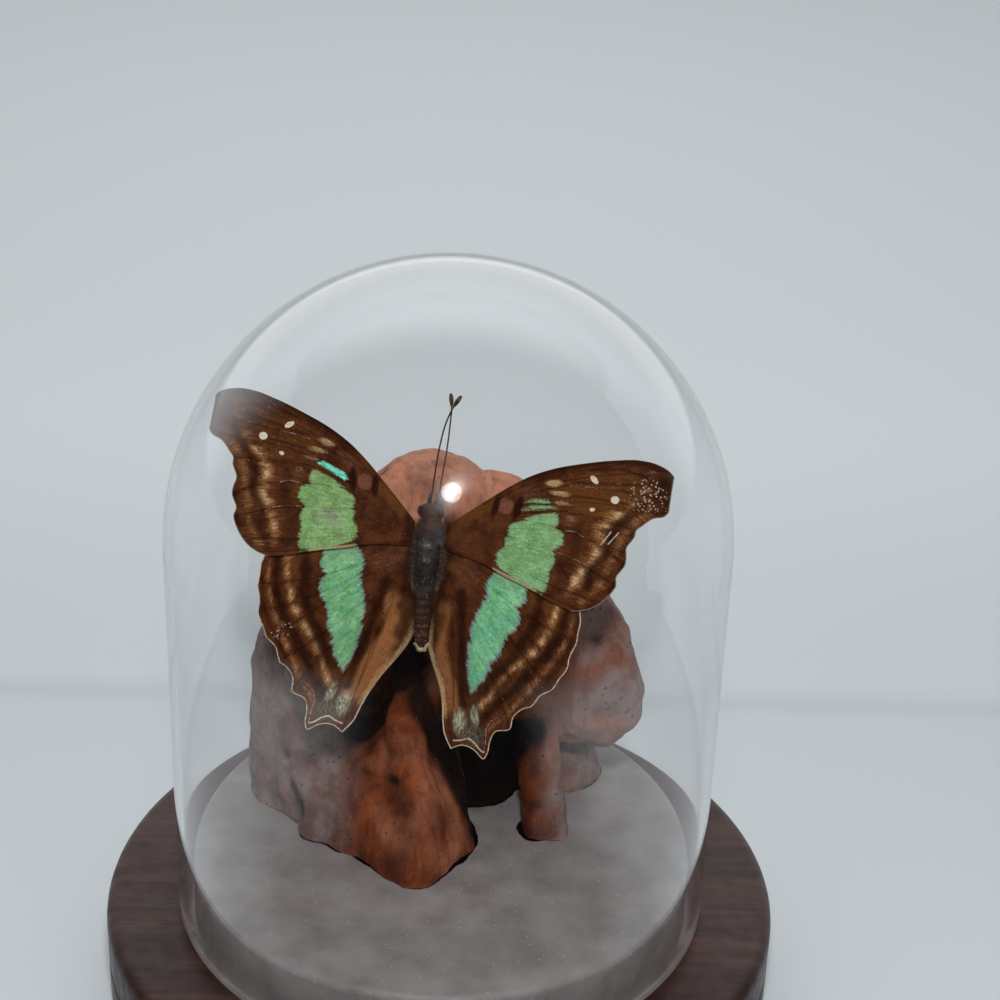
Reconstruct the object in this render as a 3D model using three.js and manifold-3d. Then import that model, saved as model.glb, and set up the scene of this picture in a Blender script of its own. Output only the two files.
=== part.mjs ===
// A spread butterfly on a piece of driftwood, under a glass dome on a turned wooden base.
// Millimetres, +Z up, origin at the centre of the base's underside. The specimen faces -Y.
import * as THREE from 'three';
import { mergeVertices } from 'three/addons/utils/BufferGeometryUtils.js';
import Module from 'manifold-3d';

const wasm = await Module();
wasm.setup();

// ---- driving dimensions ----
const baseRadius = 57.2;
const baseHeight = 18;            // up to the ledge that the glass stands on
const edgeRound = 2.2;            // rounding of the base's upper and lower edge
const platformRadius = 42.3;      // raised middle, which centres the glass
const platformHeight = 10.5;
const platformRound = 1.2;
const baseSides = 48;

const glassRadius = 45;
const glassWall = 1.3;
const glassHeight = 112.8;
const glassSides = 40;

const thorax = new THREE.Vector3(-2.87, -0.31, 85.07);
const specimenLean = 70.5;        // degrees, from lying flat to facing forward
const specimenTurn = -5.4;        // degrees about the upright axis
const dihedral = 10.9;            // degrees that each pair of wings rises from the body
const spreadTurn = -6.75;         // degrees that the whole spread is turned on the thorax
const wingThickness = 0.25;
const wingCamber = 0.9;           // rise of the wing's middle over its root and tip
const wingReach = 37;             // span over which the camber runs
const forewingHinge = new THREE.Vector3(1.6, 3.0, 1.2);
const hindwingHinge = new THREE.Vector3(1.6, -1.0, 0.5);
const innerFold = 1.6;            // how far the hindwing's inner margin bends behind the body
const gap = 0.3;                  // room kept between neighbouring pieces

const ledge = baseHeight;
const platformTop = baseHeight + platformHeight;

// ---- materials ----
const finish = (color, roughness, options = {}) =>
  new THREE.MeshStandardMaterial({ color, roughness, metalness: 0, ...options });
const mahogany = () => finish(0x46302a, 0.45);
const clearGlass = () => finish(0xe8eef0, 0.05, { transparent: true, opacity: 0.25 });
const driftwood = () => finish(0xa05032, 0.6);
const wingBrown = () => finish(0x502d19, 0.7);
const bodyBlack = () => finish(0x2a2320, 0.85);
const antennaBrown = () => finish(0x2b1c14, 0.6);

// ---- shape helpers ----
const degrees = THREE.MathUtils.degToRad;
const v3 = (x, y, z) => new THREE.Vector3(x, y, z);

// Quarter circle of a profile, from angle a to angle b in degrees about (r, z).
function arc(r, z, radius, a, b, steps) {
  const points = [];
  for (let i = 0; i <= steps; i++) {
    const angle = degrees(a + (b - a) * i / steps);
    points.push(new THREE.Vector2(r + radius * Math.cos(angle), z + radius * Math.sin(angle)));
  }
  return points;
}

// Solid turned from a profile of (radius, height) points.
const turned = (profile, sides) => new THREE.LatheGeometry(profile, sides).rotateX(Math.PI / 2);

// Closed solid from rings of equal length; each end is closed by a fan to its middle.
function loft(rings) {
  const sides = rings[0].length;
  const middle = ring => ring.reduce((sum, p) => sum.add(p), v3(0, 0, 0)).divideScalar(sides);
  const vertices = [...rings.flat(), middle(rings[0]), middle(rings[rings.length - 1])];
  const index = [];
  for (let i = 0; i + 1 < rings.length; i++) {
    for (let j = 0; j < sides; j++) {
      const k = (j + 1) % sides;
      const [a, b, c, d] = [i * sides + j, i * sides + k, (i + 1) * sides + k, (i + 1) * sides + j];
      index.push(a, b, c, a, c, d);
    }
  }
  const last = (rings.length - 1) * sides;
  for (let j = 0; j < sides; j++) {
    const k = (j + 1) % sides;
    index.push(vertices.length - 2, k, j);
    index.push(vertices.length - 1, last + j, last + k);
  }
  return geometryFrom(vertices, index);
}

function geometryFrom(vertices, index) {
  const geometry = new THREE.BufferGeometry();
  geometry.setAttribute('position', new THREE.Float32BufferAttribute(vertices.flatMap(p => [p.x, p.y, p.z]), 3));
  geometry.setIndex(index);
  geometry.computeVertexNormals();
  return geometry;
}

// Round limb along a smooth path. stations are [x, y, z, radius]; the section swells and
// shrinks round its edge by two waves, so that the limb is knobbly instead of round.
function limb(stations, { sides = 10, steps = 7, knob = 0.1, phase = 0, grow = 0 } = {}) {
  const path = new THREE.CatmullRomCurve3(stations.map(([x, y, z]) => v3(x, y, z)));
  const radii = new THREE.CatmullRomCurve3(stations.map(s => v3(s[3], 0, 0)));
  const side = v3(0, 0, 0);
  const up = v3(0, 0, 0);
  const rings = [];
  for (let i = 0; i <= steps; i++) {
    const t = i / steps;
    const centre = path.getPoint(t);
    const along = path.getTangent(t);
    side.crossVectors(Math.abs(along.y) < 0.9 ? v3(0, 1, 0) : v3(1, 0, 0), along).normalize();
    up.crossVectors(along, side);
    const radius = radii.getPoint(t).x + grow;
    const ring = [];
    for (let j = 0; j < sides; j++) {
      const a = 2 * Math.PI * j / sides;
      const wave = 1 + knob * Math.sin(3 * a + phase + 2 * t) + 0.6 * knob * Math.sin(5 * a - 3 * phase);
      ring.push(centre.clone().addScaledVector(side, radius * wave * Math.cos(a))
        .addScaledVector(up, radius * wave * Math.sin(a)));
    }
    rings.push(ring);
  }
  return loft(rings);
}

// ---- joining and cutting ----
function toManifold(geometry) {
  const bare = geometry.clone();
  bare.deleteAttribute('normal');
  bare.deleteAttribute('uv');
  const merged = mergeVertices(bare, 1e-4);
  return new wasm.Manifold(new wasm.Mesh({
    numProp: 3,
    vertProperties: new Float32Array(merged.attributes.position.array),
    triVerts: new Uint32Array(merged.index.array),
  }));
}

function toGeometry(solid) {
  const mesh = solid.getMesh();
  const geometry = new THREE.BufferGeometry();
  geometry.setAttribute('position', new THREE.BufferAttribute(mesh.vertProperties, 3));
  geometry.setIndex(new THREE.BufferAttribute(mesh.triVerts, 1));
  geometry.computeVertexNormals();
  return geometry;
}

const join = geometries => geometries.map(toManifold).reduce((a, b) => a.add(b));

const part = new THREE.Group();
part.name = 'insect_in_glass_dome';

function add(parent, name, geometry, material) {
  const mesh = new THREE.Mesh(geometry, material);
  mesh.name = name;
  parent.add(mesh);
  return mesh;
}

// ---- base: one turned piece with a ledge and a raised middle ----
function baseGeometry() {
  const rim = baseRadius - edgeRound;
  const top = platformRadius - platformRound;
  return turned([
    new THREE.Vector2(0, 0),
    ...arc(rim, edgeRound, edgeRound, -90, 0, 2),
    ...arc(rim, ledge - edgeRound, edgeRound, 0, 90, 2),
    new THREE.Vector2(platformRadius, ledge),
    ...arc(top, platformTop - platformRound, platformRound, 0, 90, 2),
    new THREE.Vector2(0, platformTop),
  ], baseSides);
}

// ---- glass dome: a tube closed by half a sphere, open at the foot ----
function glassGeometry() {
  const centre = ledge + glassHeight - glassRadius;
  const inner = glassRadius - glassWall;
  return turned([
    new THREE.Vector2(inner, ledge),
    new THREE.Vector2(glassRadius, ledge),
    ...arc(0, centre, glassRadius, 0, 90, 9).slice(0, -1),
    new THREE.Vector2(0, centre + glassRadius),
    new THREE.Vector2(0, centre + inner),
    ...arc(0, centre, inner, 90, 0, 9).slice(1),
    new THREE.Vector2(inner, ledge),
  ], glassSides);
}

// ---- driftwood: a stem with its crown and front root, and a burl on each side ----
const stemLimbs = [
  { stations: [[0, 18, 24, 13], [0, 20, 45, 11], [-1, 20, 62, 9.5], [-1, 18, 78, 9], [-1, 17, 86, 4]] },
  { stations: [[-16, 15, 70, 4], [-11, 15, 78, 8], [-3, 16, 82, 10.5], [3, 17, 80, 8]], phase: 1 },
  { stations: [[2, 17, 78, 5], [8, 17, 82, 8], [14, 17, 78, 5], [18, 16, 72, 3]], phase: 2, steps: 6 },
  { stations: [[-6, 13, 55, 4], [-6, 7, 51, 4.5], [-5.5, 3.5, 47, 6], [-5, 3, 43, 5.5]], steps: 5 },
  { stations: [[-5, 12, 47, 7], [-5, 4, 41, 8], [-5, -1, 32, 10.5], [-5, -3, 24, 11.5]], phase: 3, steps: 6 },
  { stations: [[-6, 16, 54, 5], [3, 12, 53, 5.5], [12, 11, 52, 6], [18, 12, 50, 5]], phase: 2, steps: 5 },
  { stations: [[14, 14, 52, 4], [16, 8, 42, 4], [17, 3, 32, 4], [17, 2, 24, 4.5]], sides: 8, steps: 5 },
  { stations: [[-13, 22, 24, 8], [-13, 22, 50, 7.5], [-9, 20, 74, 6]], phase: 1, steps: 4 },
  { stations: [[11, 22, 24, 8], [12, 22, 50, 7.5], [9, 20, 74, 6]], phase: 2, steps: 4 },
  { stations: [[-3, 15, 83, 5], [-3, 9, 84, 3.6], [-2.8, 4.6, 84.3, 2.2], [-2.75, 3.1, 84.3, 1.9]],
    sides: 8, steps: 4 },
];
const leftLimbs = [
  { stations: [[-14, 16, 73, 3], [-20, 14, 67, 6], [-23, 13, 57, 9], [-23.5, 12, 42, 9.5], [-22, 11, 24, 10]] },
  { stations: [[-18, 12, 46, 6], [-18, 5, 38, 6], [-18, 2, 24, 7]], phase: 2, steps: 4 },
];
const rightLimbs = [
  { stations: [[18, 17, 73, 2.5], [21, 16, 67, 5], [24, 15, 58, 8.5], [24.5, 14.5, 49, 9.5], [23, 15, 41, 6]] },
  { stations: [[16, 22, 52, 7], [19, 20, 40, 7], [20, 20, 24, 8]], phase: 1, steps: 4 },
];

function driftwoodSolids() {
  const build = (limbs, grow = 0) => join(limbs.map(({ stations, ...options }) =>
    limb(stations, { ...options, grow })));
  const below = new THREE.BoxGeometry(200, 200, 40).translate(0, 0, platformTop - 20);
  const ground = toManifold(below);
  const stem = build(stemLimbs);
  const room = build(stemLimbs, gap);
  return {
    stem: stem.subtract(ground),
    left: build(leftLimbs).subtract(room).subtract(ground),
    right: build(rightLimbs).subtract(room).subtract(ground),
  };
}

// ---- wings ----
// Outlines in the wing's own plane: x outward from the hinge, y towards the head.
const forewing = {
  leading: [[1, 0.2], [4.4, 3.4], [7, 5.8], [10, 8.5], [13.2, 10.9], [16.8, 12.85], [21, 14.45],
    [25.5, 15.85], [29.3, 16.6], [32, 16.5], [34, 15.8], [34.9, 15.1]],
  margin: [[34.9, 15.1], [34.95, 12.9], [35.05, 10.7], [35.05, 9.5], [34.5, 8.8], [33.1, 8.25],
    [31.4, 6.6], [30.8, 5.9], [30.7, 4.9], [29.8, 2.7], [30.05, 1.5], [30.1, 0.3], [29.1, -2.1],
    [29.3, -3.2], [28.7, -4.7], [27.6, -6.3], [26.5, -7.35], [25.2, -8.1], [23.2, -8.7]],
  trailing: [[1, -3.7], [5, -4], [8.5, -4.6], [11.3, -5.5], [14.2, -6.2], [17, -7], [19.6, -7.9],
    [23.2, -8.7]],
};
const hindwing = {
  leading: [[1, 1.4], [5, 3.4], [10, 4.3], [15, 3.8], [19.5, 1.6], [22.7, -1.6], [24.1, -4.6]],
  margin: [[24.1, -4.6], [24.5, -6.2], [24.45, -8], [24.5, -9.4], [23.8, -12.3], [23.8, -13.8],
    [22.5, -16.4], [22, -17.5], [20.1, -19.2], [19.6, -20.3], [19.2, -21], [17.95, -21.7],
    [16.6, -23.4], [16.4, -25.4], [14.1, -26.5], [13.6, -28], [13.5, -30.2], [13.1, -31.2],
    [11.2, -30.2], [10.1, -29.9], [9, -30], [7.35, -31]],
  trailing: [[1, -5], [0.7, -7.2], [0.2, -10], [-0.1, -13.4], [0.4, -16], [1.4, -18.2],
    [2.4, -20.3], [3.5, -22.2], [4.4, -24.3], [5, -26.6], [5.9, -29], [7.35, -31]],
};

// A polyline as a function of 0..1 along its length.
function along(points) {
  const curve = new THREE.CurvePath();
  for (let i = 0; i + 1 < points.length; i++) {
    curve.add(new THREE.LineCurve(new THREE.Vector2(...points[i]), new THREE.Vector2(...points[i + 1])));
  }
  return t => curve.getPointAt(t);
}

// The membrane is a Coons patch: s runs from the root to the outer margin, t from the
// leading edge to the trailing edge, and the four edges are the outline's own.
function patch({ leading, margin, trailing }) {
  const [front, edge, back] = [along(leading), along(margin), along(trailing)];
  const root = along([leading[0], trailing[0]]);
  const corners = [root(0), root(1), edge(0), edge(1)];
  const weigh = (...pairs) => pairs.reduce((sum, [p, w]) => sum.addScaledVector(p, w), new THREE.Vector2());
  return (s, t) => weigh(
    [front(s), 1 - t], [back(s), t], [root(t), 1 - s], [edge(t), s],
    [corners[0], -(1 - s) * (1 - t)], [corners[1], -(1 - s) * t],
    [corners[2], -s * (1 - t)], [corners[3], -s * t],
  );
}

// One wing as a thin closed plate. side is -1 for the left wing and 1 for the right one;
// lean(x, y) moves the outline and lift(s, t) bends the plate off its plane.
function wingGeometry(outline, side, spanSteps, chordSteps, lean, lift) {
  const surface = patch(outline);
  const layer = offset => {
    const points = [];
    for (let i = 0; i <= spanSteps; i++) {
      for (let j = 0; j <= chordSteps; j++) {
        const [s, t] = [Math.sin(Math.PI / 2 * i / spanSteps), j / chordSteps];
        const { x, y } = surface(s, t);
        const height = wingCamber * Math.sin(Math.PI * Math.min(x / wingReach, 1)) + lift(s, t);
        points.push(v3(side * (x + lean(x, y)), y, height + offset));
      }
    }
    return points;
  };
  const vertices = [...layer(wingThickness / 2), ...layer(-wingThickness / 2)];
  const row = chordSteps + 1;
  const under = (spanSteps + 1) * row;
  const index = [];
  const quad = (a, b, c, d) => index.push(...(side < 0 ? [a, b, c, a, c, d] : [a, c, b, a, d, c]));
  for (let i = 0; i < spanSteps; i++) {
    for (let j = 0; j < chordSteps; j++) {
      const [a, b, c, d] = [i * row + j, (i + 1) * row + j, (i + 1) * row + j + 1, i * row + j + 1];
      quad(a, b, c, d);
      quad(under + d, under + c, under + b, under + a);
    }
  }
  for (let i = 0; i < spanSteps; i++) {
    const [front, back] = [i * row, i * row + chordSteps];
    quad(front + row, front, under + front, under + front + row);
    quad(back, back + row, under + back + row, under + back);
  }
  for (let j = 0; j < chordSteps; j++) {
    const tip = spanSteps * row + j;
    quad(j, j + 1, under + j + 1, under + j);
    quad(tip + 1, tip, under + tip, under + tip + 1);
  }
  return geometryFrom(vertices, index);
}

// The inner margins follow the abdomen, which lies a little to the left of the hinge line.
const innerShift = side => (x, y) =>
  (side < 0 ? -1.2 : 1.1) * Math.exp(-(((y + 13.5) / 4) ** 2)) * Math.exp(-Math.max(x + 1, 0) / 3);

function addWing(parent, name, outline, hinge, side, spanSteps, chordSteps, fold) {
  const lean = fold ? innerShift(side) : () => 0;
  const lift = (s, t) => -fold * Math.max(0, (t - 0.8) / 0.2) ** 2 * Math.sin(Math.PI * Math.min(1, s + 0.1));
  const geometry = wingGeometry(outline, side, spanSteps, chordSteps, lean, lift);
  const wing = add(parent, name, geometry, wingBrown());
  wing.position.set(side * hinge.x, hinge.y, hinge.z);
  wing.rotation.set(0, -side * degrees(dihedral), degrees(spreadTurn), 'YXZ');
}

// ---- body: head, thorax and abdomen with the folded legs, grown as one piece ----
// Stations are [along the body, sideways, up, half width, half depth].
const bodyStations = [
  [6.5, 0, 0.2, 0.3, 0.3], [6.1, 0, 0.2, 1.2, 1], [5.2, 0, 0.2, 1.9, 1.5], [4.1, 0, 0.1, 1.7, 1.5],
  [3.4, 0, 0, 1.5, 1.5], [2.4, 0, 0, 1.95, 2.1], [0.5, 0, 0, 2.3, 2.6], [-3, 0, 0, 2.3, 2.6],
  [-6.2, -0.1, 0, 1.95, 2.1], [-8.6, -0.3, 0.1, 1.1, 1.3], [-11, -0.4, 0.2, 1, 1.1],
  [-14.5, -0.4, 0.2, 0.9, 1], [-16.6, -0.3, 0.2, 0.65, 0.7], [-17.3, -0.3, 0.2, 0.25, 0.3],
];
const legPaths = [
  [[1.1, 1.6, -1.9], [3.1, 3.4, -3.2], [3.3, 0.6, -4], [3.5, -2.6, -3.6]],
  [[1.1, -1.6, -1.9], [3, -3, -3.4], [2.7, -6.2, -3.8], [1.9, -9, -3]],
  [[0.9, 2.6, -1.6], [1.8, 4.6, -2.6], [2.6, 2.8, -3]],
];
const legRadius = 0.22;

function bodyGeometry() {
  const sides = 12;
  const rings = bodyStations.map(([y, x, z, width, depth]) =>
    Array.from({ length: sides }, (_, j) => {
      const a = -2 * Math.PI * j / sides;
      return v3(x + width * Math.cos(a), y, z + depth * Math.sin(a));
    }));
  const legs = [-1, 1].flatMap(side => legPaths.map(points => limb(
    points.map(([x, y, z], i) => [side * x, y, z, legRadius * (1 - 0.15 * i)]),
    { sides: 5, steps: 4, knob: 0 })));
  return toGeometry(join([loft(rings.reverse()), ...legs]));
}

// ---- antennae: a thin shaft that ends in a club ----
// Stations are [sideways, along the body, up]; the shafts cross near their tips.
const antennaPaths = {
  antenna_left: [[-0.3, 6.8, 1.1], [0.19, 11.45, 1.5], [0.71, 15.54, 1.8], [1.62, 19.64, 1.9],
    [2.5, 21.8, 2], [3.68, 23.7, 2]],
  antenna_right: [[0.8, 6.8, 1.1], [1.22, 10.26, 1.1], [1.73, 14.43, 0.9], [2.06, 18.89, 0.8],
    [2.16, 21.74, 0.8], [1.93, 23.9, 0.8]],
};
const antennaRadius = 0.14;
const clubRadius = 0.36;

function antennaGeometry(points) {
  const last = points.length - 1;
  const club = t => clubRadius * Math.sin(Math.PI * THREE.MathUtils.clamp((t - 0.86) / 0.17, 0, 1));
  return limb(points.map(([x, y, z], i) => [x, y, z, Math.max(antennaRadius, club(i / last))]),
    { sides: 6, steps: 14, knob: 0 });
}

// ---- assembly ----
add(part, 'base', baseGeometry(), mahogany());
add(part, 'glass_dome', glassGeometry(), clearGlass());

const wood = driftwoodSolids();
add(part, 'driftwood_stem', toGeometry(wood.stem), driftwood());
add(part, 'driftwood_left_limb', toGeometry(wood.left), driftwood());
add(part, 'driftwood_right_limb', toGeometry(wood.right), driftwood());

const specimen = new THREE.Group();
specimen.position.copy(thorax);
specimen.rotation.set(degrees(specimenLean), 0, degrees(specimenTurn), 'ZYX');
part.add(specimen);

add(specimen, 'butterfly_body', bodyGeometry(), bodyBlack());
for (const [name, points] of Object.entries(antennaPaths)) {
  add(specimen, name, antennaGeometry(points), antennaBrown());
}
for (const [word, side] of [['left', -1], ['right', 1]]) {
  addWing(specimen, `forewing_${word}`, forewing, forewingHinge, side, 8, 22, 0);
  addWing(specimen, `hindwing_${word}`, hindwing, hindwingHinge, side, 7, 26, innerFold);
}

export default part;
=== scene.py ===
"""A spread butterfly on driftwood, under a glass dome on a turned wooden base.

Sizes and places are in millimetres in the part's own frame: +Z up, the specimen faces -Y.
Meshes are written in metres. Shapes are functions of two parameters on a grid, or rings
carried along a path, worked out as whole arrays.
"""
from itertools import product

import bpy
import numpy as np
from mathutils import Matrix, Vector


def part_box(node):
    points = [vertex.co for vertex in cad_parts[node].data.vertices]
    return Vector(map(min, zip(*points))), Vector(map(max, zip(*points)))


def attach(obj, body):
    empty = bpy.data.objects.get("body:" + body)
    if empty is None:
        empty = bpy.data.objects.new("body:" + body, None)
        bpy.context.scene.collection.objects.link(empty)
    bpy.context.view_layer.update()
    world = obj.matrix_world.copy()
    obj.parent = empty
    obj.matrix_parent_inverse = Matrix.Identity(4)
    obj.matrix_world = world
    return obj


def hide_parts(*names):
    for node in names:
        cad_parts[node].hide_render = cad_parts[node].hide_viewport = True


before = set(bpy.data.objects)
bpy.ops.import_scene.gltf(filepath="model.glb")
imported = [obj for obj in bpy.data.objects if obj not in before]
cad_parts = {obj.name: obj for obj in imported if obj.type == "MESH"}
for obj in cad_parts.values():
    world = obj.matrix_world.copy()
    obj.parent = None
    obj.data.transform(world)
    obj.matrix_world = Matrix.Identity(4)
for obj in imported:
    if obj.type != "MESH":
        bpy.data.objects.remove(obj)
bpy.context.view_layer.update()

MM = 0.001


# ---------------------------------------------------------------- sizes from the frame

def node_box(node):
    """Lowest and highest corner of a CAD node in millimetres."""
    low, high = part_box(node)
    return np.array(low) / MM, np.array(high) / MM


BASE_RADIUS = node_box("base")[1][0]
PLATFORM_TOP = node_box("base")[1][2]
GLASS_RADIUS = node_box("glass_dome")[1][0]
LEDGE = node_box("glass_dome")[0][2]
GLASS_TOP = node_box("glass_dome")[1][2]

PLATFORM_RADIUS = 42.3
GLASS_WALL = 1.3
THORAX = np.array([-2.87, -0.31, 85.07])
SPECIMEN_LEAN = 70.5          # degrees, from lying flat to facing forward
SPECIMEN_TURN = -5.4          # degrees about the upright axis
DIHEDRAL = 10.9               # degrees that each pair of wings rises from the body
SPREAD_TURN = -6.75           # degrees that the whole spread is turned on the thorax
WING_CAMBER = 0.9
WING_REACH = 37.0
WING_THICKNESS = 0.14
PATTERN_SPAN = 36.0           # the wing's pattern from root to margin, and across it
LEFT, RIGHT = -1, 1


# ---------------------------------------------------------------- arrays and meshes

def turn(axis, degrees):
    """Rotation matrix about the X, Y or Z axis."""
    c, s = np.cos(np.radians(degrees)), np.sin(np.radians(degrees))
    rows = {
        "X": [[1, 0, 0], [0, c, -s], [0, s, c]],
        "Y": [[c, 0, s], [0, 1, 0], [-s, 0, c]],
        "Z": [[c, -s, 0], [s, c, 0], [0, 0, 1]],
    }
    return np.array(rows[axis], float)


def unit(vectors):
    """Vectors divided by their own lengths."""
    return vectors / np.maximum(np.linalg.norm(vectors, axis=-1, keepdims=True), 1e-12)


def smooth_step(low, high, values):
    """0 below low, 1 above high, and 3t² - 2t³ in between."""
    t = np.clip((values - low) / (high - low), 0, 1)
    return t * t * (3 - 2 * t)


def curve_through(points, count):
    """A smooth line through points at count even steps: a cubic on each stretch, whose slopes
    at the points are the mean slopes of the stretches beside them, by length."""
    p = np.asarray(points, float)
    u = np.concatenate([[0], np.cumsum(np.linalg.norm(np.diff(p[:, :3], axis=0), axis=1))])
    slope = np.gradient(p, u, axis=0)
    t = np.linspace(0, u[-1], count)
    i = np.clip(np.searchsorted(u, t, side="right") - 1, 0, len(u) - 2)
    h = (u[i + 1] - u[i])[:, None]
    f = (t - u[i])[:, None] / h
    return ((2 * f**3 - 3 * f**2 + 1) * p[i] + (f**3 - 2 * f**2 + f) * h * slope[i]
            + (3 * f**2 - 2 * f**3) * p[i + 1] + (f**3 - f**2) * h * slope[i + 1])


def soft_noise(points, size, seed):
    """Smooth values from -1 to 1 that change over size: random numbers on a cubic lattice,
    blended by 3t² - 2t³ between the eight corners of each cell."""
    lattice = np.random.default_rng(seed).uniform(-1, 1, (32, 32, 32))
    cell = np.asarray(points, float) / size
    whole = np.floor(cell).astype(int)
    part = cell - whole
    part = part * part * (3 - 2 * part)
    total = np.zeros(len(cell))
    for corner in product((0, 1), repeat=3):
        weight = np.prod(np.where(np.array(corner, bool), part, 1 - part), axis=1)
        i, j, k = ((whole + corner) % 32).T
        total += weight * lattice[i, j, k]
    return total


def grid_faces(rows, columns, closed=False):
    """Quads between neighbours of a grid stored row by row; closed joins the last column to the first."""
    i, j = np.meshgrid(np.arange(rows - 1), np.arange(columns - (not closed)), indexing="ij")
    k = (j + 1) % columns
    corners = [i * columns + j, i * columns + k, (i + 1) * columns + k, (i + 1) * columns + j]
    return np.stack(corners, -1).reshape(-1, 4)


def lofted(rings):
    """Closed surface over rings (rows, sides, 3), each end closed by a fan to its middle.
    Rings that turn to the right of their path face outwards."""
    rows, sides, _ = rings.shape
    points = np.concatenate([rings.reshape(-1, 3), rings[0].mean(0)[None], rings[-1].mean(0)[None]])
    j = np.arange(sides)
    k = (j + 1) % sides
    first, last = rows * sides, (rows - 1) * sides
    start = np.stack([np.full(sides, first), k, j], -1)
    end = np.stack([np.full(sides, first + 1), last + j, last + k], -1)
    return points, [grid_faces(rows, sides, closed=True), start, end]


def rings_on(path, width, depth, side, sides, wave=1.0):
    """Rings round a path: path + side·width·cos(a)·wave + up·depth·sin(a)·wave, where up is
    square to the path and to side. width and depth are arrays along the path."""
    along = unit(np.gradient(path, axis=0))
    across = unit(side - along * (along @ np.asarray(side, float))[:, None])
    up = np.cross(along, across)
    a = 2 * np.pi * np.arange(sides) / sides
    wide = (width[:, None] * np.cos(a) * wave)[..., None] * across[:, None]
    deep = (depth[:, None] * np.sin(a) * wave)[..., None] * up[:, None]
    return path[:, None] + wide + deep


def joined(parts):
    """Several (points, faces) as one; faces are lists of index arrays."""
    points, faces, start = [], [], 0
    for p, f in parts:
        points.append(p)
        faces += [one + start for one in f]
        start += len(p)
    return np.concatenate(points), faces


def in_scene(name, data):
    """A new object of the scene that holds a mesh, a lamp or a camera."""
    made = bpy.data.objects.new(name, data)
    bpy.context.scene.collection.objects.link(made)
    return made


def piece(name, shape, finish, marks=None, uv=None):
    """An object of the part from (points in millimetres, list of face arrays). marks are
    floats kept on the vertices; uv is one pair a vertex. It rides on the one body."""
    points, faces = shape
    mesh = bpy.data.meshes.new(name)
    mesh.vertices.add(len(points))
    mesh.vertices.foreach_set("co", (points * MM).ravel())
    corners = np.concatenate([f.ravel() for f in faces])
    sizes = np.concatenate([np.full(len(f), f.shape[1]) for f in faces])
    mesh.loops.add(len(corners))
    mesh.loops.foreach_set("vertex_index", corners.astype(np.int32))
    mesh.polygons.add(len(sizes))
    mesh.polygons.foreach_set("loop_start", (np.cumsum(sizes) - sizes).astype(np.int32))
    mesh.polygons.foreach_set("use_smooth", np.ones(len(sizes), bool))
    mesh.update(calc_edges=True)
    for word, values in (marks or {}).items():
        layer = mesh.attributes.new(word, "FLOAT", "POINT")
        layer.data.foreach_set("value", values.astype(np.float32))
    if uv is not None:
        layer = mesh.uv_layers.new(name="along")
        layer.data.foreach_set("uv", uv.astype(np.float32)[corners].ravel())
    mesh.materials.append(finish)
    made = in_scene(name, mesh)
    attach(made, "root")
    return made


# ---------------------------------------------------------------- finishes: helpers

def paint(code):
    """Linear colour from a #rrggbb paint code."""
    value = np.array([int(code[i:i + 2], 16) for i in (1, 3, 5)]) / 255
    linear = np.where(value <= 0.04045, value / 12.92, ((value + 0.055) / 1.055) ** 2.4)
    return (*linear, 1.0)


def new_node(tree, kind, sockets=(), **settings):
    """A shader node with its settings; each socket is linked, where its value is another
    socket, or set."""
    made = tree.nodes.new("ShaderNode" + kind)
    for key, value in settings.items():
        setattr(made, key, value)
    for key, value in dict(sockets).items():
        if isinstance(value, bpy.types.NodeSocket):
            tree.links.new(value, made.inputs[key])
        else:
            made.inputs[key].default_value = value
    return made


def stepped(tree, value, low, high, to_low, to_high, kind="SMOOTHSTEP"):
    """A value between low and high moved onto to_low to to_high, smoothly or evenly."""
    sockets = {"Value": value, "From Min": low, "From Max": high, "To Min": to_low, "To Max": to_high}
    return new_node(tree, "MapRange", sockets, interpolation_type=kind).outputs[0]


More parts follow.
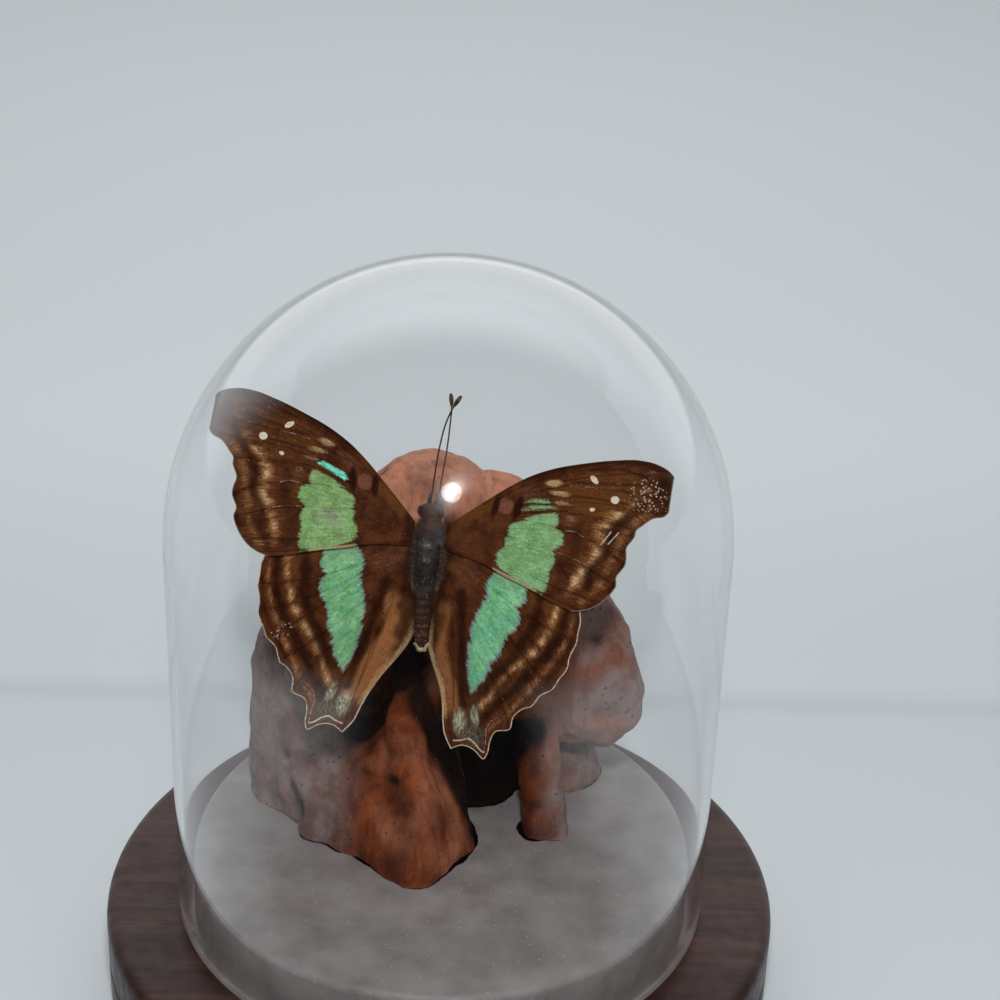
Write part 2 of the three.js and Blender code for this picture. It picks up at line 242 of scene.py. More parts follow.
class Finish:
    """A material under a Principled shader. Each call adds a node or two and gives the output.
    Colours are sockets or #rrggbb paint codes."""

    def __init__(self, name, **constants):
        self.material = bpy.data.materials.new(name)
        self.material.use_nodes = True
        self.tree = self.material.node_tree
        self.shader = self.tree.nodes["Principled BSDF"]
        self.place = self.node("TexCoord").outputs["Object"]
        for key, value in constants.items():
            self.shader.inputs[key.replace("_", " ")].default_value = value

    def node(self, kind, sockets=(), **settings):
        return new_node(self.tree, kind, sockets, **settings)

    def set(self, key, value):
        self.tree.links.new(value, self.shader.inputs[key])

    def painted(self, colour, roughness, normal):
        """The material, once its colour, roughness and bumps are known."""
        self.set("Base Color", colour)
        self.set("Roughness", roughness)
        self.set("Normal", normal)
        return self.material

    def surface(self, factor, other):
        """Another shader where factor is 1, in place of the Principled one."""
        mixed = self.node("MixShader", {0: factor, 1: self.shader.outputs[0], 2: other.outputs[0]})
        self.tree.links.new(mixed.outputs[0], self.tree.nodes["Material Output"].inputs["Surface"])

    def mark(self, word):
        return self.node("Attribute", attribute_name=word).outputs["Fac"]

    def noise(self, size, detail=3.0, rough=0.55, place=None, stretch=None, twist=0.0):
        """Noise whose lumps are size millimetres; stretch makes them longer along an axis."""
        place = place or self.place
        if stretch:
            sockets = {"Vector": place, "Scale": [1 / s for s in stretch]}
            place = self.node("Mapping", sockets).outputs[0]
        sockets = {"Vector": place, "Scale": 1 / (size * MM), "Detail": detail, "Roughness": rough,
                   "Distortion": twist}
        return self.node("TexNoise", sockets).outputs["Fac"]

    def dots(self, size, low, high, most=1.0):
        """Round dots, size millimetres apart, that fade out between two parts of that distance."""
        cells = self.node("TexVoronoi", {"Vector": self.place, "Scale": 1 / (size * MM)})
        return self.between(cells.outputs["Distance"], low, high, most, 0)

    def between(self, value, low, high, to_low=0.0, to_high=1.0):
        """Smooth step from low to high, onto to_low to to_high."""
        return stepped(self.tree, value, low, high, to_low, to_high)

    def sum(self, operation, a, b=0.0):
        return self.node("Math", {0: a, 1: b}, operation=operation).outputs[0]

    def times(self, a, b):
        return self.sum("MULTIPLY", a, b)

    def plus(self, a, b):
        return self.sum("ADD", a, b)

    def mix(self, factor, a, b, blend="MIX"):
        a, b = (paint(one) if isinstance(one, str) else one for one in (a, b))
        made = self.node("Mix", {0: factor, 6: a, 7: b}, data_type="RGBA", blend_type=blend)
        return made.outputs[2]

    def over(self, under, colour, value, low, high, most=1.0):
        """A colour laid over another where value rises from low to high."""
        return self.mix(self.between(value, low, high, 0, most), under, colour)

    def bump(self, height, depth, strength, under=None):
        sockets = {"Height": height, "Distance": depth * MM, "Strength": strength}
        if under:
            sockets["Normal"] = under
        return self.node("Bump", sockets).outputs[0]


# ---------------------------------------------------------------- base and glass

def quarter(radius, height, rounding, start, end, steps=8):
    """Round corner of a profile about (radius, height), from one angle to another in degrees."""
    a = np.radians(np.linspace(start, end, steps))
    return np.stack([radius + rounding * np.cos(a), height + rounding * np.sin(a)], -1)


def turned(profile, sides=192):
    """Surface that a (radius, height) profile sweeps about +Z. The profile starts and ends
    on the axis, and runs so that the outside lies to its right."""
    a = 2 * np.pi * np.arange(sides) / sides
    ring = profile[1:-1]
    x, y = ring[:, :1] * np.cos(a), ring[:, :1] * np.sin(a)
    rings = np.stack([x, y, np.repeat(ring[:, 1:], sides, 1)], -1)
    points, faces = lofted(rings)
    points[-2:] = [[0, 0, profile[0, 1]], [0, 0, profile[-1, 1]]]
    return points, faces


def spaced(profile, step):
    """A profile with points added so that none of its stretches is longer than step."""
    out = [profile[:1]]
    for a, b in zip(profile[:-1], profile[1:]):
        count = max(int(np.ceil(np.linalg.norm(b - a) / step)), 1)
        out.append(a + (b - a) * (np.arange(1, count + 1) / count)[:, None])
    return np.concatenate(out)


def mahogany_finish():
    """Dark red-brown wood turned on a lathe: long grain across X, fine pores, a satin varnish
    and, on the parts that face up under the glass, a pale grey film that is part dust, part painted sheen."""
    f = Finish("mahogany", Coat_Weight=0.1, Coat_Roughness=0.16, Coat_IOR=1.5, Specular_IOR_Level=0.2)
    grain = f.noise(7, 5, 0.6, stretch=(9, 1, 1), twist=0.6)
    pores = f.noise(0.35, 2, 0.7, stretch=(16, 1, 1))
    rings = f.noise(2.2, 3, 0.5, stretch=(14, 1, 1.6), twist=1.5)
    wood = f.over("#2b1815", "#4a302a", grain, 0.3, 0.7)
    wood = f.over(wood, "#24130f", rings, 0.45, 0.75, 0.55)
    wood = f.over(wood, "#1a0d0a", pores, 0.58, 0.75, 0.6)
    # Pale grey film inside the glass: part dust, part painted sheen that stands for reflected light.
    dust_and_sheen = f.times(f.mark("dusty"), f.between(f.noise(6, 4), 0.2, 0.75, 0.6, 1.0))
    wood = f.mix(f.times(dust_and_sheen, 0.62), wood, "#aca6a5")
    specks = f.times(f.mark("dusty"), f.dots(1.6, 0.03, 0.1, 0.6))
    colour = f.mix(specks, wood, "#d8d2cc")
    roughness = f.between(f.noise(2.5, 3), 0.3, 0.7, 0.34, 0.5)
    return f.painted(colour, roughness, f.bump(f.plus(pores, grain), 0.05, 0.35))


def make_base():
    """Turned base: rounded foot and shoulder, a groove round its edge, a ledge for the glass
    and a raised middle."""
    edge, top_edge, foot_of_rise = 2.2, 1.2, 0.4
    rim, top = BASE_RADIUS - edge, PLATFORM_RADIUS - top_edge
    groove, groove_height = BASE_RADIUS - 0.35, 9.0
    profile = spaced(np.concatenate([
        [[0, 0]],
        quarter(rim, edge, edge, -90, 0),
        [[BASE_RADIUS, groove_height - 0.6], [groove, groove_height - 0.2],
         [groove, groove_height + 0.2], [BASE_RADIUS, groove_height + 0.6]],
        quarter(rim, LEDGE - edge, edge, 0, 90),
        quarter(PLATFORM_RADIUS + foot_of_rise, LEDGE + foot_of_rise, foot_of_rise, 270, 180, 4),
        quarter(top, PLATFORM_TOP - top_edge, top_edge, 0, 90),
        [[0, PLATFORM_TOP]],
    ]), 1.5)
    points, faces = turned(profile, 192)
    inside = np.hypot(points[:, 0], points[:, 1]) < GLASS_RADIUS - GLASS_WALL
    # Where the pale grey film goes, part dust and part painted sheen.
    dusty = inside * (points[:, 2] > LEDGE - 0.1)
    made = piece("turned_base", (points, faces), mahogany_finish(), {"dusty": dusty})
    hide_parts("base")


def glass_finish():
    """Clear soda glass, with a light path for lamps so that they reach the specimen."""
    f = Finish("clear_glass", Transmission_Weight=1.0, IOR=1.5, Roughness=0.0,
               Base_Color=paint("#ffffff"))
    rays = f.node("LightPath").outputs
    lamp = f.sum("MAXIMUM", rays["Is Shadow Ray"], rays["Is Diffuse Ray"])
    f.surface(lamp, f.node("BsdfTransparent", {"Color": paint("#fafcfc")}))
    return f.material


def make_dome():
    """Tube closed by half a sphere, open at the foot, whose rim is fire-polished round."""
    inner, lip = GLASS_RADIUS - GLASS_WALL, GLASS_WALL / 2
    centre = GLASS_TOP - GLASS_RADIUS
    profile = spaced(np.concatenate([
        [[0, centre + inner]],
        quarter(0, centre, inner, 89, 0, 60),
        quarter(GLASS_RADIUS - lip, LEDGE + lip, lip, 180, 360, 9),
        quarter(0, centre, GLASS_RADIUS, 0, 89, 60),
        [[0, GLASS_TOP]],
    ]), 4)
    made = piece("dome", turned(profile, 160), glass_finish())
    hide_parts("glass_dome")


# ---------------------------------------------------------------- driftwood

# Limbs are stations of x, y, z and radius. Grooves and hollows are a line, its half width and depth.
WOOD_VOXEL = 0.62
STEM_LIMBS = [
    [[0, 18, 24, 13], [0, 20, 45, 11], [-1, 20, 62, 9.5], [-1, 18, 78, 9], [-1, 17, 86, 4]],
    [[-16, 15, 70, 4], [-11, 15, 78, 8], [-3, 16, 82, 10.5], [3, 17, 80, 8]],
    [[2, 17, 77, 5], [8, 17, 80, 7.7], [14, 17, 77, 5], [18, 16, 72, 3]],
    [[-6, 13, 55, 4], [-6, 7, 51, 4.5], [-5.5, 3.5, 47, 6], [-5, 3, 43, 5.5]],
    [[-5, 12, 47, 7], [-5, 4, 41, 8], [-5, -1, 32, 10.5], [-5, -3, 24, 11.5]],
    [[-7, 8, 49, 3.5], [-11, 4, 43.5, 5], [-13, 1, 36, 6.5], [-14, 0, 24, 7.5]],
    [[-6, 16, 54, 5], [3, 12, 53, 5.5], [12, 11, 52, 6], [18, 12, 50, 5]],
    [[14, 14, 52, 4], [16, 8, 42, 4], [17, 3, 32, 4], [17, 2, 24, 4.5]],
    [[-13, 22, 24, 8], [-13, 22, 50, 7.5], [-9, 20, 74, 6]],
    [[11, 22, 24, 8], [12, 22, 50, 7.5], [9, 20, 74, 6]],
    [[-3, 15, 83, 5], [-3, 9, 84, 3.6], [-2.8, 4.6, 84.3, 2.2], [-2.75, 3.1, 84.3, 1.9]],
]
LEFT_LIMBS = [
    [[-14, 16, 73, 3], [-20, 14, 67, 6], [-23, 13, 57, 9], [-23.5, 12, 42, 9.5], [-22, 11, 24, 10]],
    [[-18, 12, 46, 6], [-18, 5, 38, 6], [-18, 2, 24, 7]],
]
RIGHT_LIMBS = [
    [[18, 17, 73, 2.5], [21, 16, 67, 5], [24, 15, 58, 8.5], [24.5, 14.5, 49, 9.5], [23, 15, 41, 6]],
    [[16, 22, 52, 7], [19, 20, 40, 7], [20, 20, 24, 8]],
]
WOOD_GROOVES = [
    ([[-18, -9, 41], [-11, -13, 39], [-5, -14, 40], [1, -12, 42]], 0.8, 0.9),
    ([[25.0, 7.6, 63.6], [25.7, 6.9, 61.3], [25.5, 6.4, 59.2]], 0.4, 0.7),
    ([[-5, -6, 50], [-7, -10, 43], [-9, -12, 36], [-12, -12, 30]], 0.6, 0.7),
    ([[-2, 7, 92], [-1, 8, 86], [2, 8, 80]], 1.0, 1.2),
    ([[12, 9, 86], [10, 8, 80], [11, 9, 74]], 0.9, 1.0),
    ([[-28, 6, 62], [-26, 4, 52], [-27, 3, 42]], 0.6, 0.7),
    ([[-19, 2, 60], [-18, 1, 52], [-20, 1, 46]], 0.9, 0.9),
    ([[-26, 2, 38], [-24, 1, 32], [-25, 2, 25]], 0.6, 0.8),
    ([[29, 8, 58], [31, 10, 52], [30, 11, 47]], 0.5, 0.8),
    ([[3, -10, 38], [1, -13, 32], [2, -14, 25]], 0.5, 0.7),
    ([[-14, -3, 43.5], [-8, -5, 42.5], [-2, -5, 41.5]], 0.5, 0.6),
    ([[-10, 16, 94], [-12, 12, 88], [-11, 9, 82]], 0.5, 0.7),
    ([[-5, 29, 68], [-6, 31, 50], [-4, 32, 30]], 0.9, 1.3),
    ([[7, 28, 72], [6, 30, 56], [8, 31, 38]], 0.8, 1.1),
]
# Deep hollows beside the front root and under the arch, carved in and painted near black as shade.
WOOD_HOLLOWS = [
    ([[-5, 9, 60], [-10, 7, 51.5], [-14.5, 5, 47]], 2.4, 1.8),
    ([[-4, 6, 60], [-2.6, 3, 54], [1, 1.2, 47.5], [5.5, -0.4, 38.5], [9, 0, 30]], 2.6, 2.2),
    ([[0, 2.5, 48], [7, 6.5, 44.5], [14, 8.5, 43]], 2.0, 1.2),
]


def limb(stations, phase):
    """Rings round a smooth path of radius r·(1 + 0.1·sin(3a + phase + 2t) + 0.06·sin(5a - 3·phase))."""
    rows, sides = 60, 48
    line = curve_through(stations, rows)
    a = 2 * np.pi * np.arange(sides) / sides
    t = np.linspace(0, 1, rows)[:, None]
    wave = 1 + 0.1 * np.sin(3 * a + phase + 2 * t) + 0.06 * np.sin(5 * a - 3 * phase)
    return lofted(rings_on(line[:, :3], line[:, 3], line[:, 3], (0.3, 1, 0), sides, wave))


def distance_to(line, points):
    """Distance of each point from a line of straight stretches, the least of them all."""
    a, b = np.asarray(line[:-1], float), np.asarray(line[1:], float)
    run = b - a
    t = np.einsum("pij,ij->pi", points[:, None] - a, run) / np.sum(run * run, axis=1)
    near = a + np.clip(t, 0, 1)[..., None] * run
    return np.linalg.norm(points[:, None] - near, axis=2).min(1)


def remeshed(shape, voxel):
    """One closed skin round several solids, by the Remesh modifier, as vertices, normals and quads."""
    mesh = bpy.data.meshes.new("limbs")
    mesh.from_pydata(shape[0].tolist(), [], [f for faces in shape[1] for f in faces.tolist()])
    blank = in_scene("limbs", mesh)
    skin = blank.modifiers.new("skin", "REMESH")
    skin.mode = "VOXEL"
    skin.voxel_size = voxel
    fair = blank.modifiers.new("fair", "SMOOTH")
    fair.factor = 0.5
    fair.iterations = 6
    done = blank.evaluated_get(bpy.context.evaluated_depsgraph_get()).to_mesh()
    points, normals = np.zeros((2, len(done.vertices) * 3))
    quads = np.zeros(len(done.loops), int)
    done.vertices.foreach_get("co", points)
    done.vertices.foreach_get("normal", normals)
    done.loops.foreach_get("vertex_index", quads)
    bpy.data.objects.remove(blank)
    bpy.data.meshes.remove(mesh)
    return points.reshape(-1, 3), normals.reshape(-1, 3), quads.reshape(-1, 4)


def driftwood_finish():
    """Water-worn wood under a thin polish: orange-brown grain that runs up the limbs, pale where
    it is worn and on the crown, dark in its cracks, with painted shade in its dips, grooves and hollows
    and on the far left limbs, and a grey bloom on the outer limbs that is part dust, part painted sheen."""
    f = Finish("driftwood", Coat_Weight=0.06, Coat_Roughness=0.3, Coat_IOR=1.45, Specular_IOR_Level=0.15)
    grain = f.noise(1.6, 4, 0.6, stretch=(1, 1, 7), twist=0.8)
    lumps = f.noise(9, 4, 0.55, twist=0.5)
    streak = f.noise(0.45, 3, 0.6, stretch=(1, 1, 14), twist=0.3)
    pits = f.dots(1.3, 0.1, 0.3)
    wood = f.over("#4e210f", "#84411e", lumps, 0.3, 0.7)
    wood = f.over(wood, "#43180b", grain, 0.42, 0.72, 0.65)
    wood = f.over(wood, "#2a100a", streak, 0.5, 0.75, 0.5)
    # Paler at random and on the crown; the far left limbs get little of it, which is painted shade.
    wood = f.mix(f.times(f.mark("worn"), f.between(grain, 0.7, 0.3, 0.55, 1.0)), wood, "#d38c6d")
    # Painted shade: the dips between the lumps and the far left limbs are darkened.
    wood = f.mix(f.times(f.mark("dip_shade"), 0.75), wood, "#2a100a")
    # Grey on the outer limbs: part dust, part painted sheen that stands for reflected light.
    sheen_bloom = f.times(f.mark("sheen_bloom"), f.between(f.noise(5, 5, 0.65), 0.36, 0.62, 0.35, 1.0))
    wood = f.mix(f.times(sheen_bloom, 0.75), wood, "#8f7d78")
    wood = f.mix(f.times(pits, f.between(f.noise(5, 3), 0.5, 0.62, 0, 0.7)), wood, "#2a120c")
    # Painted shade: the carved grooves are darkened almost to black.
    wood = f.mix(f.mark("groove"), wood, "#140908")
    # Painted shade: the hollows and the space under the arch are darkened almost to black.
    hollow_shade = f.plus(f.mark("hollow_shade"), f.times(f.sum("SUBTRACT", lumps, 0.5), 0.5))
    wood = f.over(wood, "#0e0605", hollow_shade, 0.2, 0.75, 0.95)
    wood = f.mix(f.times(f.dots(1.5, 0.02, 0.075), 0.55), wood, "#cdbfb5")
    worn = f.between(f.noise(1.5, 3), 0.3, 0.7, 0.5, 0.75)
    roughness = f.sum("MAXIMUM", worn, f.between(hollow_shade, 0.2, 0.6, 0.3, 0.95))
    rough = f.bump(f.plus(grain, streak), 0.14, 0.5)
    return f.painted(wood, roughness, f.bump(f.times(pits, -1.0), 0.3, 0.35, rough))


def make_driftwood():
    """All limbs under one skin, lumped, grooved and hollowed along its normals, cut flat where
    it stands."""
    limbs = STEM_LIMBS + LEFT_LIMBS + RIGHT_LIMBS
    shape = joined([limb(stations, number * 1.0) for number, stations in enumerate(limbs)])
    points, normals, quads = remeshed(shape, WOOD_VOXEL)
    x, y, z = points.T
    lumps = (0.55 * soft_noise(points, 7.0, 3) + 0.42 * soft_noise(points, 3.1, 4)
             + 0.16 * soft_noise(points * [1, 1, 0.35], 1.0, 5))
    rise = lumps.copy()
    groove = np.zeros(len(points))
    wander = 0.7 * soft_noise(points, 2.6, 9)
    # Grooves are carved in and marked to be painted dark as shade.
    for line, width, depth in WOOD_GROOVES:
        near = np.exp(-((distance_to(line, points) + wander) / (width * 1.7)) ** 2)
        rise -= depth * near
        groove = np.maximum(groove, near ** 2)
    # Painted shade: the wood under the arch and along the hollows is marked to be painted near black.
    under_arch = smooth_step(2, 7, y) * smooth_step(17, 12, y) * smooth_step(50, 45, z)
    hollow_shade = under_arch * smooth_step(-3, 0, x) * smooth_step(19, 16, x)
    for line, width, depth in WOOD_HOLLOWS:
        near = np.exp(-(distance_to(line, points) / (width * 1.5)) ** 2)
        rise -= depth * near
        hollow_shade = np.maximum(hollow_shade, np.minimum(1.3 * near, 1))
    crown = smooth_step(75, 85, z + 3 * soft_noise(points, 6.0, 12))
    # Grey on the outer limbs, part dust and part painted sheen, with a little on the crown.
    aside = np.where(x < 0, -15, 16.5) * (1 + 0.25 * smooth_step(45, 55, z))
    sheen_bloom = smooth_step(0.8, 1.3, x / aside + 0.12 * soft_noise(points, 5.0, 8))
    # Painted shade: the far left limbs are darkened and kept from the pale wear.
    shaded = smooth_step(-13, -19, x)
    worn = smooth_step(0.1, 0.9, soft_noise(points, 9.0, 6) + 0.3 * lumps) * 0.55
    marks = {
        "groove": groove,
        "worn": np.maximum(worn, 0.85 * crown) * (1 - 0.8 * shaded),
        "sheen_bloom": sheen_bloom * (1 - crown) + 0.25 * crown,
        "dip_shade": np.maximum(smooth_step(-0.15, -0.75, lumps), 0.55 * shaded),
        "hollow_shade": hollow_shade,
    }
    points = points + normals * rise[:, None]
    points[:, 2] = np.maximum(points[:, 2], PLATFORM_TOP)
    made = piece("driftwood", (points, [quads]), driftwood_finish(), marks)
    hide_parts("driftwood_stem", "driftwood_left_limb", "driftwood_right_limb")


# ---------------------------------------------------------------- specimen: place and marks

SPECIMEN = turn("Z", SPECIMEN_TURN) @ turn("X", SPECIMEN_LEAN)


def on_specimen(points):
    """From the specimen's own frame (sideways, towards the head, up from the back) to the part's."""
    return THORAX + np.asarray(points, float) @ SPECIMEN.T


def soft_spot(x, y, centre, long, wide, lean=0.0, blur=0.25):
    """1 inside an oval and 0 outside it, with an edge that is blur of its size wide."""
    c, s = np.cos(np.radians(lean)), np.sin(np.radians(lean))
    dx, dy = x - centre[0], y - centre[1]
    r = np.hypot((c * dx + s * dy) / long, (-s * dx + c * dy) / wide)
    return smooth_step(1 + blur, 1 - blur, r)


def depth_inside(outline, points):
    """Distance to a closed outline, above zero inside it and below zero outside."""
    ring = np.asarray(outline + outline[:1], float)
    (x0, y0), (x1, y1) = ring[:-1].T, ring[1:].T
    x, y = points[:, :1], points[:, 1:]
    rise = np.where(y1 == y0, 1e-9, y1 - y0)
    crossed = ((y0 > y) != (y1 > y)) & (x < x0 + (y - y0) * (x1 - x0) / rise)
    inside = crossed.sum(1) % 2 == 1
    return np.where(inside, 1, -1) * distance_to(ring, points)


def row_of(line, points, width):
    """A soft band along a line: exp(-(distance/width)²)."""
    return np.exp(-(distance_to(curve_through(line, 40), points) / width) ** 2)


# Both wings are tables on the wing's own plane, in millimetres from its hinge: its edges, veins, band
# and rows (line, half width, strength), then the ovals of its marks (mark, strength, middle, half
# length, half width, lean, blur) and their soft lines (mark, strength, half width, line), and what
# differs from side to side.
CREAM_BARS = [                # strength, middle, half length, half width, lean, blur
    (0.95, (16.9, 10.5), 1.35, 0.52, 14, 0.5), (0.8, (18.1, 9.1), 1.7, 0.45, 4, 0.5),
    (0.6, (18.7, 7.7), 1.4, 0.4, 8, 0.5), (0.5, (20.4, 5.6), 0.8, 0.45, 0, 0.5),
    (0.4, (30.6, 15.0), 1.8, 0.3, 14, 0.5), (0.4, (31.2, 12.2), 1.1, 0.4, 30, 0.5),
]
FOREWING = {
    "leading": [[1, 0.2], [4.4, 3.4], [7, 5.8], [10, 8.5], [13.2, 10.9], [16.8, 12.85], [21, 14.45],
                [25.5, 15.85], [29.3, 16.6], [32, 16.5], [34, 15.8], [34.9, 15.1]],
    "margin": [[34.9, 15.1], [34.95, 12.9], [35.05, 10.7], [35.05, 9.5], [34.5, 8.8], [33.1, 8.25],
               [31.4, 6.6], [30.8, 5.9], [30.7, 4.9], [29.8, 2.7], [30.05, 1.5], [30.1, 0.3],
               [29.1, -2.1], [29.3, -3.2], [28.7, -4.7], [27.6, -6.3], [26.5, -7.35], [25.2, -8.1],
               [23.2, -8.7]],
    "trailing": [[1, -3.7], [5, -4], [8.5, -4.6], [11.3, -5.5], [14.2, -6.2], [17, -7],
                 [19.6, -7.9], [23.2, -8.7]],
    "veins": [
        [[1, -0.4], [6, 3.9], [12, 8.9], [18, 12.2], [24, 14.4], [27, 15.8]],
        [[1, -0.9], [6, 3.1], [12, 7.9], [16, 10.2], [22, 12.5], [28, 14.3], [33.5, 15.9]],
        [[12, 7.9], [14, 8.6], [19.5, 10.7], [24.1, 11.1], [30, 11.6], [35, 11.2]],
        [[12, 7.9], [12, 6], [11.4, 3.5], [10, 1.6], [8, -0.2], [5, -1.6], [1, -1.8]],
        [[12.1, 6.2], [16.8, 7.1], [21, 8.4], [26, 9.0], [31, 8.9], [35, 9.6]],
        [[12, 4.6], [15, 5.5], [18.2, 6.4], [22, 6.6], [26, 6.4], [30.8, 5.9]],
        [[11.4, 3.5], [15, 3.9], [19.9, 3.6], [23, 3.2], [27, 1.9], [30.1, 0.3]],
        [[9.8, 1.3], [11, 0.9], [14, 0.4], [18.9, 0], [23.2, -1.0], [26.5, -2.2], [29.3, -3.2]],
        [[6.5, -1.2], [8, -2.4], [11.4, -3.5], [15, -4.3], [18.4, -5.1], [23, -5.8], [27.6, -6.3]],
        [[1, -3.0], [5, -3.6], [10, -4.6], [15, -5.9], [19, -7.1], [24.6, -8.2]],
    ],
    "band": [[14.6, 4.9], [16.2, 5.6], [17.6, 6.1], [18.4, 6.0], [18.7, 4.6], [18.6, 3.7], [19.8, 3.1],
             [19.9, 1.4], [18.9, 0.1], [19.2, -1.6], [18.6, -3.4], [18.9, -5.0], [18.4, -7.2],
             [13.2, -6.2], [10.9, -4.9], [9.6, -3.3], [9.9, -2.2], [10.8, -0.8], [10.6, 0.4],
             [11.1, 1.4], [10.7, 2.5], [12, 3.3], [13.2, 4.1]],
    "tan": [([[29.4, 9.4], [27.4, 7.5], [25.2, 5.2], [25.5, 1.4], [23.4, -2.4], [22.4, -5.4]], 1.25, 1.0),
            ([[33.2, 10.5], [31.2, 8.0], [29.2, 5.2], [28.4, 2.8], [27.4, -0.4], [26.8, -3.8],
              [24.6, -6.8]], 0.9, 0.6)],
    "dark": [([[31.5, 10.4], [29.3, 8.2], [27.2, 4.2], [26.9, 1.4], [25.0, -1.4], [24.9, -4.6]], 0.9, 0.75),
             ([[21.6, 5.4], [22.2, 1.7], [20.6, -2], [20.2, -5.5]], 1.3, 0.55),
             ([[31.2, 5.2], [30.2, 1], [28.6, -4.4]], 0.6, 0.9)],
    "fringe": 0.3,
    "ovals": [
        ("pale", 1, (26.7, 9.9), 0.64, 0.62), ("pale", 1, (23.0, 12.3), 0.82, 0.42, -38),
        ("pale", 1, (23.5, 7.7), 0.42, 0.3, 20),
        ("red", 1, (9.9, 5.3), 1.35, 1.25, 30, 0.35), ("red", 0.5, (13.3, 8.3), 2.2, 1.0, 30, 0.5),
        ("red", 0.6, (20.6, 5.2), 1.6, 1.0, 0, 0.6),
        ("dark", 1, (8.3, 4.9), 0.55, 1.8, -8, 0.5), ("dark", 1, (11.9, 5.5), 0.65, 1.9, -8, 0.5),
        ("dark", 0.45, (22.2, 1.6), 1.3, 1.1, 0, 0.5), ("dark", 0.7, (34, 12.6), 2.4, 3.4, 0, 0.6),
    ],
    "lines": [
        ("cream", 1.1, 0.32, [[9.8, -4.9], [12.5, -5.65], [16.6, -6.8]]),
        ("olive", 1, 0.75, [[3.2, 1.1], [5.4, 3.1], [7.6, 4.9]]),
        ("dark", 0.75, 0.9, [[12, 10.2], [20, 14.0], [27, 16.2], [34, 15.8]]),
        ("dark", 0.6, 0.4, [[22, 13.6], [27, 14.7], [31, 14.2]]),
        ("dark", 0.6, 0.3, [[19.5, 9.0], [24, 9.5], [29, 9.6]]),
        ("dark", 0.6, 0.45, [[19.8, 11.2], [24, 11.9], [30, 12.9]]),
        ("dark", 0.5, 0.4, [[27.5, 11.8], [30, 10.6], [33, 10.0]]),
        ("scratch", 0.5, 0.13, [[19.9, 3.6], [21.6, 3.7], [23, 3.2]]),
        ("scratch", 0.5, 0.13, [[19.1, 0], [21.5, -0.4], [23.3, -0.9], [24.7, -1.8]]),
        ("scratch", 0.5, 0.13, [[19.5, 10.6], [22, 11.0], [24.4, 11.1]]),
    ],
    LEFT: {
        "cool": 0.0,
        "ovals": [("cream", 0.75 * level, *oval) for level, *oval in CREAM_BARS] + [
            ("olive", 0.4, (24.5, 10.2), 7.5, 4.0, 14, 0.5),
            ("dark", 1, (12.1, 5.4), 0.8, 0.9, 0, 0.4), ("dark", 1, (17.6, 7.6), 0.8, 0.3, 10, 0.5),
            ("dusty", 0.5, (27, 12), 6, 4, 0, 0.5), ("patch", 1, (14.4, -1.0), 3.0, 1.6, 0, 0.6),
        ],
        "lines": [],
    },
    RIGHT: {
        "cool": 0.22,
        "ovals": [("cream", *bar) for bar in CREAM_BARS] + [
            ("olive", 0.7, (24.5, 10.2), 7.5, 4.0, 14, 0.5),
            ("dusty", 1, (31.5, 11.5), 3.6, 3.2, 0, 0.5), ("dusty", 0.6, (26, 12.6), 6, 2.2, 10, 0.5),
        ],
        "lines": [("scratch", 0.9, 0.11, [[27.0, 4.9], [25.8, 2.6]]),
                  ("scratch", 0.9, 0.11, [[28.2, 5.1], [26.9, 2.9]])],
    },
}

